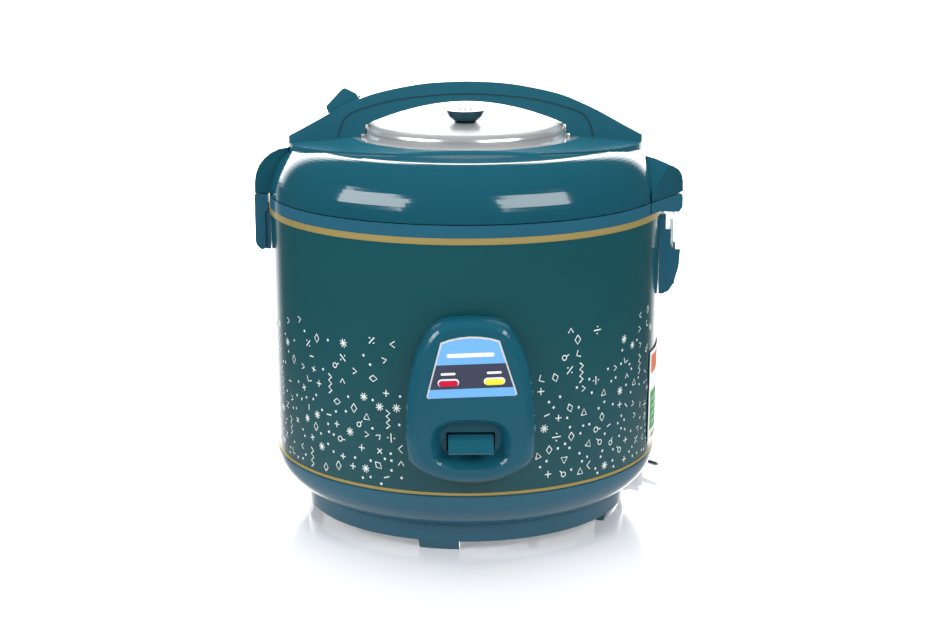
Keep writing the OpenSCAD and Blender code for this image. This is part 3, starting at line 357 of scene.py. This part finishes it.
# ---- Printed pattern on the shell ----
# Small white figures are screen-printed on the enamel in an ink film about 0.05 mm
# thick, sparse half way up and crowded towards the lower band.
print_ink, tree, shader = new_material("screen_print_ink_white", "#dfe6e4", 0.4, ior=1.5)
place = add_node(tree, "ShaderNodeTexCoord")
film = add_node(tree, "ShaderNodeTexNoise", {"Vector": place.outputs["Object"], "Scale": 1500.0})
tone = add_node(tree, "ShaderNodeMix", {"Factor": film.outputs["Fac"]}, data_type="RGBA")
tone.inputs[6].default_value = linear("#ccd6d5")
tone.inputs[7].default_value = linear("#eef3f1")
tree.links.new(tone.outputs[2], shader.inputs["Base Color"])


def ring_figure(radius, steps=12):
    return [[(radius * math.cos(2 * math.pi * k / steps), radius * math.sin(2 * math.pi * k / steps))
             for k in range(steps + 1)]]


def spokes(count, length):
    return [[(-length * math.cos(math.pi * k / count), -length * math.sin(math.pi * k / count)),
             (length * math.cos(math.pi * k / count), length * math.sin(math.pi * k / count))]
            for k in range(count)]


figures = {
    "dot": ([[(-0.7, 0), (-0.4, 0), (0.4, 0), (0.7, 0)]], 1.2),
    "dash": ([[(-1.5, 0), (1.5, 0)]], 0.6),
    "angle": ([[(-1.3, 1.5), (-1.3, -1.3), (1.5, -1.3)]], 0.55),
    "chevron": ([[(-1.3, 1.4), (0.9, 0), (-1.3, -1.4)]], 0.55),
    "cross": (spokes(2, 1.6), 0.55),
    "star": (spokes(4, 2.0), 0.5),
    "ring_tail": (ring_figure(1.2) + [[(0.85, 0.85), (2.1, 2.1)]], 0.5),
    "diamond": ([[(0, 2.1), (1.5, 0), (0, -2.1), (-1.5, 0), (0, 2.1)]], 0.5),
    "triangle": ([[(-1.6, -1.3), (1.6, -1.3), (0, 1.7), (-1.6, -1.3)]], 0.5),
    "zigzag": ([[(-1.0, 5.2), (1.0, 3.6), (-1.0, 2.0), (1.0, 0.4), (-1.0, -1.2), (1.0, -2.8),
                 (-1.0, -4.4)]], 0.7),
    "pair": ([[(-1.5, -1.6), (1.5, 1.6)], [(-1.5, 1.2), (-0.7, 1.2)], [(0.7, -1.2),
                                                                      (1.5, -1.2)]], 0.6),
}
weights = {"dot": 26, "dash": 9, "angle": 8, "chevron": 10, "cross": 10, "star": 12,
           "ring_tail": 5, "diamond": 9, "triangle": 6, "zigzag": 6, "pair": 9}
shell_low, shell_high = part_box("outer_shell")
shell_z0, shell_z1 = shell_low.z * 1000, shell_high.z * 1000
shell_r0 = shell_high.x * 1000 - 1.6
print_r = 134.5
ink_proud = 0.06
print_top, print_low = 153, 50
panel_half_width, panel_top = 45, 170
sticker_from, sticker_to, sticker_top = 158, 232, 122
print_tries = 9000
chance = random.Random(41)
print_verts, print_faces = [], []


def shell_point(around, z, proud):
    """A point on the tapered shell, at a length round it from the front, in mm."""
    r = shell_r0 + 1.6 * (z - shell_z0) / (shell_z1 - shell_z0) + proud
    angle = around / print_r
    return Vector((r * math.sin(angle), -r * math.cos(angle), z)) / 1000


def print_stroke(points, width, around, z, tilt):
    """One stroke of ink, as a flat strip that follows the shell."""
    turn = Matrix.Rotation(tilt, 2)
    line = [turn @ Vector(p) for p in points]
    start = len(print_verts)
    for i, p in enumerate(line):
        before, after = line[max(i - 1, 0)], line[min(i + 1, len(line) - 1)]
        run = (after - before).normalized()
        side = Vector((-run.y, run.x)) * width / 2
        for q in (p + side, p - side):
            print_verts.append(shell_point(around + q.x, z + q.y, ink_proud))
    for i in range(len(line) - 1):
        a = start + 2 * i
        print_faces.append((a, a + 1, a + 3, a + 2))


taken = []
names = list(weights)
for _ in range(print_tries):
    around = chance.uniform(-422, 422)
    drop = chance.random() ** 0.62
    z = print_top - (print_top - print_low) * drop
    crowd = min(1.0, 0.16 + 0.84 * ((print_top - z) / 100) ** 1.2)
    if chance.random() > crowd:
        continue
    kind = chance.choices(names, [weights[k] for k in names])[0]
    reach = {"dot": 1.2, "zigzag": 5.0}.get(kind, 3.2)
    if z - reach < 48.6 or (abs(around) < panel_half_width and z < panel_top):
        continue
    if sticker_from < around < sticker_to and z < sticker_top:
        continue
    if any((around - a) ** 2 + (z - b) ** 2 < (reach + c + 1.6) ** 2 for a, b, c in taken):
        continue
    taken.append((around, z, reach))
    strokes, width = figures[kind]
    tilt = 0.0 if kind == "zigzag" else chance.choice([0, 0, 0.3, -0.3, 0.8, -0.8, 1.57, 3.14])
    size = chance.uniform(0.95, 1.1) * (1.0 if kind == "dot" else 1.35)
    for stroke in strokes:
        print_stroke([(size * x, size * y) for x, y in stroke], width * 1.3, around, z, tilt)
mesh_piece("shell_print", print_verts, print_faces, print_ink, "cooker",
           smooth=False)

# ---- Cooking parts ----
# The pot and the heating plate are aluminium: the pot spun from sheet and satin
# anodised, the plate cast and turned on its face, which leaves fine rings.
spun_aluminium, tree, shader = new_material("spun_aluminium", "#b9babc", 0.32, metallic=1.0)
place = add_node(tree, "ShaderNodeTexCoord")
spin = add_node(tree, "ShaderNodeTexWave", {"Vector": place.outputs["Object"], "Scale": 260.0,
                                            "Distortion": 0.4}, wave_type="RINGS",
                rings_direction="Z")
gloss = add_node(tree, "ShaderNodeMapRange", {"Value": spin.outputs["Fac"], "To Min": 0.24,
                                              "To Max": 0.4})
tree.links.new(gloss.outputs["Result"], shader.inputs["Roughness"])
skin = add_node(tree, "ShaderNodeBump", {"Height": spin.outputs["Fac"], "Strength": 0.12,
                                         "Distance": 0.0001})
tree.links.new(skin.outputs["Normal"], shader.inputs["Normal"])
for name in ("inner_pot", "heating_plate", "thermostat_cap", "inner_lid"):
    finish_with(name, spun_aluminium)

# Under the plate are a ferrite magnet, the switch and the blocks that carry the wires,
# in the materials that each is sold in.
ferrite, tree, shader = new_material("sintered_ferrite", "#2b2b2c", 0.6, ior=2.2)
place = add_node(tree, "ShaderNodeTexCoord")
pits = add_node(tree, "ShaderNodeTexNoise", {"Vector": place.outputs["Object"], "Scale": 1800.0})
skin = add_node(tree, "ShaderNodeBump", {"Height": pits.outputs["Fac"], "Strength": 0.3,
                                         "Distance": 0.0002})
tree.links.new(skin.outputs["Normal"], shader.inputs["Normal"])
finish_with("lift_magnet", ferrite)
nylon_black, tree, shader = new_material("moulded_nylon_black", "#1b1b1c", 0.5, ior=1.53)
place = add_node(tree, "ShaderNodeTexCoord")
pits = add_node(tree, "ShaderNodeTexNoise", {"Vector": place.outputs["Object"], "Scale": 2200.0})
skin = add_node(tree, "ShaderNodeBump", {"Height": pits.outputs["Fac"], "Strength": 0.15,
                                         "Distance": 0.0002})
tree.links.new(skin.outputs["Normal"], shader.inputs["Normal"])
for name in ("microswitch", "latch_hook", "steam_valve"):
    finish_with(name, nylon_black)
pbt_ivory, tree, shader = new_material("moulded_pbt_ivory", "#d9d4c4", 0.45, ior=1.55)
place = add_node(tree, "ShaderNodeTexCoord")
pits = add_node(tree, "ShaderNodeTexNoise", {"Vector": place.outputs["Object"], "Scale": 1500.0})
skin = add_node(tree, "ShaderNodeBump", {"Height": pits.outputs["Fac"], "Strength": 0.12,
                                         "Distance": 0.0002})
tree.links.new(skin.outputs["Normal"], shader.inputs["Normal"])
for name in ("terminal_block", "lamp_holder", "lid_liner", "thermal_fuse"):
    finish_with(name, pbt_ivory)
wire_silicone, tree, shader = new_material("silicone_wire_cover", "#7d3a1c", 0.5, ior=1.43)
place = add_node(tree, "ShaderNodeTexCoord")
braid = add_node(tree, "ShaderNodeTexWave", {"Vector": place.outputs["Object"], "Scale": 900.0})
skin = add_node(tree, "ShaderNodeBump", {"Height": braid.outputs["Fac"], "Strength": 0.3,
                                         "Distance": 0.0002})
tree.links.new(skin.outputs["Normal"], shader.inputs["Normal"])
finish_with("wire_harness", wire_silicone)

# ---- Control panel ----
# The shield is moulded in the same teal ABS, a shade bluer and cleaner than the shell's
# paint, and the lever in its recess is moulded from it too.
panel_abs = moulded_teal("moulded_abs_teal_panel", "#145162", 0.15)
for name in ("control_housing", "switch_lever"):
    finish_with(name, panel_abs)

# The label is a printed polyester sheet with a satin varnish: a silver edge, a light
# blue field, and a dark band that holds the two lamps.
label_ink, tree, shader = new_material("label_print_silver", "#e6e9ea", 0.28, metallic=0.35)
place = add_node(tree, "ShaderNodeTexCoord")
sheen = add_node(tree, "ShaderNodeTexNoise", {"Vector": place.outputs["Object"], "Scale": 700.0})
gloss = add_node(tree, "ShaderNodeMapRange", {"Value": sheen.outputs["Fac"], "To Min": 0.22,
                                              "To Max": 0.36})
tree.links.new(gloss.outputs["Result"], shader.inputs["Roughness"])
finish_with("panel_label", label_ink)
label_low, label_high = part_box("panel_label")
label_face = label_low.y
label_at = Vector((0, label_face, (label_low.z + label_high.z) / 2 - 0.0003))
label_tilt = Matrix.Rotation(math.radians(-1.8), 3, "Y")


def label_piece(name, outline, proud, material):
    """A flat printed area of the label, drawn in mm from the label's middle."""
    middle = Vector((sum(p[0] for p in outline), 0, sum(p[1] for p in outline))) / len(outline)
    verts = [label_at + label_tilt @ (Vector((x, -proud, z)) / 1000)
             for x, z in [(middle.x, middle.z)] + list(outline)]
    n = len(outline)
    faces = [(0, 1 + i, 1 + (i + 1) % n) for i in range(n)]
    return mesh_piece(name, verts, faces, material, "cooker", smooth=False)


def bar(x, z, width, height, steps=6):
    """A bar with round ends, as a list of points."""
    r = height / 2
    return ([(x + width / 2 - r + r * math.cos(a), z + r * math.sin(a))
             for a in [math.radians(-90 + 180 * k / steps) for k in range(steps + 1)]]
            + [(x - width / 2 + r + r * math.cos(a), z + r * math.sin(a))
               for a in [math.radians(90 + 180 * k / steps) for k in range(steps + 1)]])


def label_half(z):
    """Half of the label's printed width at a height from its middle."""
    return 29 - (z + 19.7) * 10.4 / 36 - 0.75


field_blue, tree, shader = new_material("label_print_blue", "#6db3ec", 0.3, ior=1.5)
place = add_node(tree, "ShaderNodeTexCoord")
halftone = add_node(tree, "ShaderNodeTexVoronoi", {"Vector": place.outputs["Object"],
                                                   "Scale": 1400.0})
tone = add_node(tree, "ShaderNodeMix", {"Factor": halftone.outputs["Distance"]},
                data_type="RGBA")
tone.inputs[6].default_value = linear("#5ea4e0")
tone.inputs[7].default_value = linear("#79b6ea")
tree.links.new(tone.outputs[2], shader.inputs["Base Color"])
top_arc = [(-17.6, 16.0), (-13, 17.5), (-6.5, 18.8), (0, 19.2), (6.5, 18.8), (13, 17.5),
           (17.6, 16.0)]
upper = [(label_half(2.5), 2.5)] + top_arc[::-1] + [(-label_half(2.5), 2.5)]
label_piece("label_field_upper", upper, 0.03, field_blue)
lower = [(-label_half(-13.3), -13.3), (-label_half(-17.4) - 0.1, -17.4), (-27.2, -18.5),
         (-26.2, -18.9), (26.2, -18.9), (27.2, -18.5), (label_half(-17.4) + 0.1, -17.4),
         (label_half(-13.3), -13.3)]
label_piece("label_field_lower", lower, 0.03, field_blue)
band_ink, tree, shader = new_material("label_print_slate", "#3a3f55", 0.3, ior=1.5)
place = add_node(tree, "ShaderNodeTexCoord")
sheen = add_node(tree, "ShaderNodeTexNoise", {"Vector": place.outputs["Object"], "Scale": 900.0})
gloss = add_node(tree, "ShaderNodeMapRange", {"Value": sheen.outputs["Fac"], "To Min": 0.25,
                                              "To Max": 0.4})
tree.links.new(gloss.outputs["Result"], shader.inputs["Roughness"])
middle_band = [(-label_half(2.5), 2.5), (-label_half(-13.3), -13.3),
               (label_half(-13.3), -13.3), (label_half(2.5), 2.5)]
label_piece("label_band", middle_band, 0.03, band_ink)
white_print, tree, shader = new_material("label_print_white", "#f4f6f6", 0.3, ior=1.5)
place = add_node(tree, "ShaderNodeTexCoord")
film = add_node(tree, "ShaderNodeTexNoise", {"Vector": place.outputs["Object"], "Scale": 1100.0})
gloss = add_node(tree, "ShaderNodeMapRange", {"Value": film.outputs["Fac"], "To Min": 0.25,
                                              "To Max": 0.38})
tree.links.new(gloss.outputs["Result"], shader.inputs["Roughness"])
label_piece("label_title_bar", bar(0, 8.4, 30, 2.6), 0.06, white_print)
for side, name in ((-1, "left"), (1, "right")):
    label_piece(f"label_lamp_edge_{name}", bar(side * 14.5, -9.0, 13.6, 4.8), 0.06,
                white_print)
    label_piece(f"label_lamp_word_{name}", bar(side * 14.5, -3.4, 9.4, 1.5), 0.06,
                white_print)

# The lamp windows are small clear-coloured acrylic lenses over neon lamps, polished. A faint
# emission in each lens's own colour is a painted glow that paints in the light they gather.
for name, colour, lens_painted_glow in (("cook_lens", "#c3173a", "#c3173a"),
                           ("warm_lens", "#e0dc3c", "#e0dc3c")):
    acrylic, tree, shader = new_material(f"tinted_acrylic_{name}", colour, 0.12, ior=1.49)
    place = add_node(tree, "ShaderNodeTexCoord")
    ribs = add_node(tree, "ShaderNodeTexWave", {"Vector": place.outputs["Object"],
                                                "Scale": 220.0}, bands_direction="X")
    skin = add_node(tree, "ShaderNodeBump", {"Height": ribs.outputs["Fac"], "Strength": 0.15,
                                             "Distance": 0.0002})
    tree.links.new(skin.outputs["Normal"], shader.inputs["Normal"])
    # Painted glow: a weak emission in the lens colour, though the lens itself is no lamp.
    shader.inputs["Emission Color"].default_value = linear(lens_painted_glow)
    shader.inputs["Emission Strength"].default_value = 0.05
    finish_with(name, acrylic)

# ---- Latch, hinge and dew cup on the body ----
# All are teal ABS mouldings clipped to the shell; the cup is clear polystyrene, so the
# shell shows through it with bright edges.
for name in ("latch_catch", "catch_cover", "dew_holder", "dew_cover"):
    finish_with(name, base_abs)
for name in ("catch_cover", "dew_cover"):
    softened(name, 0.0008)
clear_ps, tree, shader = new_material("clear_polystyrene", "#eef6f7", 0.06, ior=1.57)
shader.inputs["Transmission Weight"].default_value = 0.9
place = add_node(tree, "ShaderNodeTexCoord")
flow = add_node(tree, "ShaderNodeTexNoise", {"Vector": place.outputs["Object"], "Scale": 60.0})
skin = add_node(tree, "ShaderNodeBump", {"Height": flow.outputs["Fac"], "Strength": 0.05,
                                         "Distance": 0.0003})
tree.links.new(skin.outputs["Normal"], shader.inputs["Normal"])
finish_with("dew_cup", clear_ps)

# ---- Rating sticker ----
# A coated paper label, matt white, with a green panel, an orange oval and plain bars,
# stuck to the right of the shell.
coated_paper, tree, shader = new_material("coated_paper_white", "#eef0ec", 0.55, ior=1.45)
place = add_node(tree, "ShaderNodeTexCoord")
fibre = add_node(tree, "ShaderNodeTexNoise", {"Vector": place.outputs["Object"],
                                              "Scale": 1300.0, "Detail": 5.0})
skin = add_node(tree, "ShaderNodeBump", {"Height": fibre.outputs["Fac"], "Strength": 0.1,
                                         "Distance": 0.0001})
tree.links.new(skin.outputs["Normal"], shader.inputs["Normal"])
finish_with("energy_sticker", coated_paper)


def sticker_patch(name, a0, a1, z0, z1, colour, steps=6):
    """A printed area on the sticker, between two headings in degrees and two heights."""
    ink, tree, shader = new_material(f"sticker_ink_{name}", colour, 0.5, ior=1.45)
    place = add_node(tree, "ShaderNodeTexCoord")
    film = add_node(tree, "ShaderNodeTexNoise", {"Vector": place.outputs["Object"],
                                                 "Scale": 1200.0})
    gloss = add_node(tree, "ShaderNodeMapRange", {"Value": film.outputs["Fac"],
                                                  "To Min": 0.45, "To Max": 0.6})
    tree.links.new(gloss.outputs["Result"], shader.inputs["Roughness"])
    verts, faces = [], []
    for k in range(steps + 1):
        angle = math.radians(a0 + (a1 - a0) * k / steps)
        for z in (z0, z1):
            r = 134.45 + 0.6 * (z - 52.8) / 66 + 0.06
            verts.append(Vector((r * math.sin(angle), -r * math.cos(angle), z)) / 1000)
    for k in range(steps):
        faces.append((2 * k, 2 * k + 2, 2 * k + 3, 2 * k + 1))
    mesh_piece(f"sticker_{name}", verts, faces, ink, "cooker")


sticker_patch("head", 69.5, 88.5, 103, 116, "#d8622c")
sticker_patch("field", 69.5, 88.5, 62, 90, "#3f9a4a")
for i in range(4):
    sticker_patch(f"rule_{i + 1}", 71.5, 86.5, 66 + 5.5 * i, 67.6 + 5.5 * i, "#dfe9dc")
sticker_patch("foot", 71.5, 86.5, 56, 58.5, "#8a8f8a")

# ---- Lid ----
# One large ABS moulding, polished like glass, so the studio's lights show on it with
# crisp edges. The latch and hinge covers and the handle are moulded to match.
lid_abs = moulded_teal("moulded_abs_teal_lid", "#134b5a", 0.09)
for name in ("lid_shell", "latch_cover", "hinge_cover"):
    finish_with(name, lid_abs)
handle_abs = moulded_teal("moulded_abs_teal_handle", "#205b6c", 0.17)
for name in ("handle_base", "handle_arch", "handle_grip", "release_button"):
    finish_with(name, handle_abs)
cap_abs = moulded_teal("moulded_abs_teal_dark", "#123f4c", 0.2)
finish_with("steam_cap", cap_abs)
for name, width in (("latch_cover", 0.0012), ("handle_arch", 0.0012), ("release_button", 0.0012),
                    ("handle_grip", 0.0006), ("hinge_cover", 0.0012)):
    softened(name, width)

# Where the grip insert meets the arch, a seam about 0.6 mm wide runs round it. The dark strip along
# it is painted shade: the shadow in the gap, drawn as a flat line.
seam_shade_paint, tree, shader = new_material("seam_shadow_dark", "#0a2a33", 0.6)
place = add_node(tree, "ShaderNodeTexCoord")
grime = add_node(tree, "ShaderNodeTexNoise", {"Vector": place.outputs["Object"], "Scale": 300.0})
gloss = add_node(tree, "ShaderNodeMapRange", {"Value": grime.outputs["Fac"], "To Min": 0.5,
                                              "To Max": 0.7})
tree.links.new(gloss.outputs["Result"], shader.inputs["Roughness"])
arch_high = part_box("handle_arch")[1]
seam_half_width, seam_proud = 0.3, 0.03
half_seam = [(-87, -4), (-86, 5), (-80, 15), (-64, 21), (-44, 25.6), (-20, 28.2), (0, 29)]
seam_line = smooth_line([Vector((x, 0, arch_z + 262.8)) for x, arch_z in
                         half_seam + [(-x, z) for x, z in reversed(half_seam[:-1])]], 8)
# Two flat strips of painted shade, one on each face of the arch, stand in for the shadow in the
# seam's gap.
for name, side in (("grip_seam_front", -1), ("grip_seam_rear", 1)):
    edge = side * (arch_high.y * 1000 + seam_proud)
    verts, faces = [], []
    for i, p in enumerate(seam_line):
        run = (seam_line[min(i + 1, len(seam_line) - 1)] - seam_line[max(i - 1, 0)]).normalized()
        across = Vector((-run.z, 0, run.x)) * seam_half_width
        for q in (p + across, p - across):
            verts.append(Vector((q.x, edge, q.z)) / 1000)
    for i in range(len(seam_line) - 1):
        corner = 2 * i
        faces.append((corner, corner + 1, corner + 3, corner + 2)[::side])
    mesh_piece(name, verts, faces, seam_shade_paint, "lid", smooth=False)

# The handle's top carries a strip of satin aluminium foil under clear film.
satin_strip, tree, shader = new_material("satin_aluminium_strip", "#d4d6d8", 0.22, metallic=1.0)
place = add_node(tree, "ShaderNodeTexCoord")
stretch = add_node(tree, "ShaderNodeMapping", {"Vector": place.outputs["Object"],
                                               "Scale": (15.0, 3500.0, 15.0)})
lines = add_node(tree, "ShaderNodeTexNoise", {"Vector": stretch.outputs["Vector"],
                                              "Scale": 1.0, "Detail": 2.0})
gloss = add_node(tree, "ShaderNodeMapRange", {"Value": lines.outputs["Fac"], "To Min": 0.16,
                                              "To Max": 0.3})
tree.links.new(gloss.outputs["Result"], shader.inputs["Roughness"])
finish_with("handle_trim", satin_strip)

# ---- Steel top plate ----
# Pressed stainless steel, with a satin raised middle and a rim buffed to a mirror. Fine
# round buffing marks spread the reflections a little along the rings.
mirror_steel, tree, shader = new_material("buffed_stainless_steel", "#dfe0e1", 0.2,
                                          metallic=0.7)
place = add_node(tree, "ShaderNodeTexCoord")
buff = add_node(tree, "ShaderNodeTexWave", {"Vector": place.outputs["Object"], "Scale": 900.0,
                                            "Distortion": 1.5}, wave_type="RINGS",
                rings_direction="Z")
reach = add_node(tree, "ShaderNodeSeparateXYZ", {"Vector": place.outputs["Object"]})
flat = add_node(tree, "ShaderNodeCombineXYZ", {"X": reach.outputs["X"],
                                               "Y": reach.outputs["Y"]})
radius = add_node(tree, "ShaderNodeVectorMath", {0: flat.outputs["Vector"]},
                  operation="LENGTH")
haze = add_node(tree, "ShaderNodeMapRange", {"Value": radius.outputs["Value"],
                                             "From Min": 0.066, "From Max": 0.071,
                                             "To Min": 0.3, "To Max": 0.06})
fine = add_node(tree, "ShaderNodeMath", {0: buff.outputs["Fac"], 1: 0.05},
                operation="MULTIPLY")
gloss = add_node(tree, "ShaderNodeMath", {0: haze.outputs["Result"], 1: fine.outputs["Value"]},
                 operation="ADD")
tree.links.new(gloss.outputs["Value"], shader.inputs["Roughness"])
finish_with("top_plate", mirror_steel)

# ---- Lid gasket ----
# Extruded silicone rubber, translucent white and slightly tacky, so it looks waxy.
silicone, tree, shader = new_material("silicone_rubber_white", "#d7d8d2", 0.45, ior=1.41)
place = add_node(tree, "ShaderNodeTexCoord")
wax = add_node(tree, "ShaderNodeTexNoise", {"Vector": place.outputs["Object"], "Scale": 400.0})
skin = add_node(tree, "ShaderNodeBump", {"Height": wax.outputs["Fac"], "Strength": 0.1,
                                         "Distance": 0.0002})
tree.links.new(skin.outputs["Normal"], shader.inputs["Normal"])
finish_with("lid_gasket", silicone)

# ---- Studio ----
# A light table of polished white acrylic, which glows a little and gives the soft
# mirror under the base.
acrylic_white, tree, shader = new_material("polished_acrylic_white", "#dadce0", 0.1, ior=1.49)
place = add_node(tree, "ShaderNodeTexCoord")
smear = add_node(tree, "ShaderNodeTexNoise", {"Vector": place.outputs["Object"], "Scale": 5.0})
gloss = add_node(tree, "ShaderNodeMapRange", {"Value": smear.outputs["Fac"], "To Min": 0.08,
                                              "To Max": 0.14})
tree.links.new(gloss.outputs["Result"], shader.inputs["Roughness"])
shader.inputs["Emission Color"].default_value = (1, 1, 1, 1)
shader.inputs["Emission Strength"].default_value = 0.12
floor_mesh = bpy.data.meshes.new("acrylic_floor")
floor_mesh.from_pydata([(-22, -22, 0), (22, -22, 0), (22, 22, 0), (-22, 22, 0)], [],
                       [(0, 1, 2, 3)])
floor_mesh.materials.append(acrylic_white)
acrylic_floor = bpy.data.objects.new("acrylic_floor", floor_mesh)
bpy.context.collection.objects.link(acrylic_floor)
acrylic_floor.visible_glossy = False


def softbox(name, place, aim, width, height, power, colour="#ffffff"):
    """A rectangular light behind white diffusion cloth, turned to face a point."""
    light = bpy.data.lights.new(name, "AREA")
    light.shape = "RECTANGLE"
    light.size, light.size_y = width, height
    light.energy = power
    light.color = linear(colour)[:3]
    lamp = bpy.data.objects.new(name, light)
    lamp.location = place
    lamp.rotation_euler = (Vector(aim) - Vector(place)).to_track_quat("-Z", "Y").to_euler()
    lamp.visible_camera = False
    bpy.context.collection.objects.link(lamp)
    return lamp


softbox("softbox_left", (-1.24, -0.775, 0.92), (0, 0, 0.2), 1.2, 0.58, 18)
softbox("softbox_right", (0.925, -1.10, 0.97), (0, 0, 0.2), 1.15, 0.62, 17)
overhead = softbox("softbox_top", (0.0, 0.1, 1.9), (0, 0.05, 0.1), 2.4, 2.0, 46)
overhead.visible_glossy = False

# The room: a bright white sweep behind, up to where it ends overhead, a dim room all
# round, and the table's own pale glow from below.
world = bpy.data.worlds.new("studio_room")
bpy.context.scene.world = world
world.use_nodes = True
tree = world.node_tree
backdrop = tree.nodes["Background"]
way = add_node(tree, "ShaderNodeTexCoord")
parts = add_node(tree, "ShaderNodeSeparateXYZ", {"Vector": way.outputs["Generated"]})
sweep_wide = add_node(tree, "ShaderNodeMapRange", {"Value": parts.outputs["Y"],
                                                   "From Min": 0.68, "From Max": 0.86,
                                                   "To Min": 0.0, "To Max": 6.0},
                      interpolation_type="SMOOTHSTEP")
sweep_top = add_node(tree, "ShaderNodeMapRange", {"Value": parts.outputs["Z"],
                                                  "From Min": 0.57, "From Max": 0.62,
                                                  "To Min": 1.0, "To Max": 0.0},
                     interpolation_type="SMOOTHSTEP")
sweep_foot = add_node(tree, "ShaderNodeMapRange", {"Value": parts.outputs["Z"],
                                                   "From Min": 0.0, "From Max": 0.08,
                                                   "To Min": 0.0, "To Max": 1.0},
                      interpolation_type="SMOOTHSTEP")
cut_top = add_node(tree, "ShaderNodeMath", {0: sweep_wide.outputs["Result"],
                                            1: sweep_top.outputs["Result"]},
                   operation="MULTIPLY")
sweep = add_node(tree, "ShaderNodeMath", {0: cut_top.outputs["Value"],
                                          1: sweep_foot.outputs["Result"]},
                 operation="MULTIPLY")
table_far = add_node(tree, "ShaderNodeMapRange", {"Value": parts.outputs["Y"],
                                                  "From Min": 0.74, "From Max": 0.98,
                                                  "To Min": 0.0, "To Max": 3.0},
                     interpolation_type="SMOOTHSTEP")
table_edge = add_node(tree, "ShaderNodeMapRange", {"Value": parts.outputs["Z"],
                                                   "From Min": 0.0, "From Max": 0.08,
                                                   "To Min": 1.0, "To Max": 0.0},
                      interpolation_type="SMOOTHSTEP")
table_shine = add_node(tree, "ShaderNodeMath", {0: table_far.outputs["Result"],
                                                1: table_edge.outputs["Result"]},
                       operation="MULTIPLY")
table_glow = add_node(tree, "ShaderNodeMapRange", {"Value": parts.outputs["Z"],
                                                   "From Min": -0.25, "From Max": -0.36,
                                                   "To Min": 0.06, "To Max": 0.6},
                      interpolation_type="SMOOTHSTEP")
lower = add_node(tree, "ShaderNodeMath", {0: table_shine.outputs["Value"],
                                          1: table_glow.outputs["Result"]}, operation="ADD")
total = add_node(tree, "ShaderNodeMath", {0: sweep.outputs["Value"],
                                          1: lower.outputs["Value"]}, operation="ADD")
backdrop.inputs["Color"].default_value = (1, 1, 1, 1)
tree.links.new(total.outputs["Value"], backdrop.inputs["Strength"])
bpy.context.scene.view_settings.view_transform = "Standard"
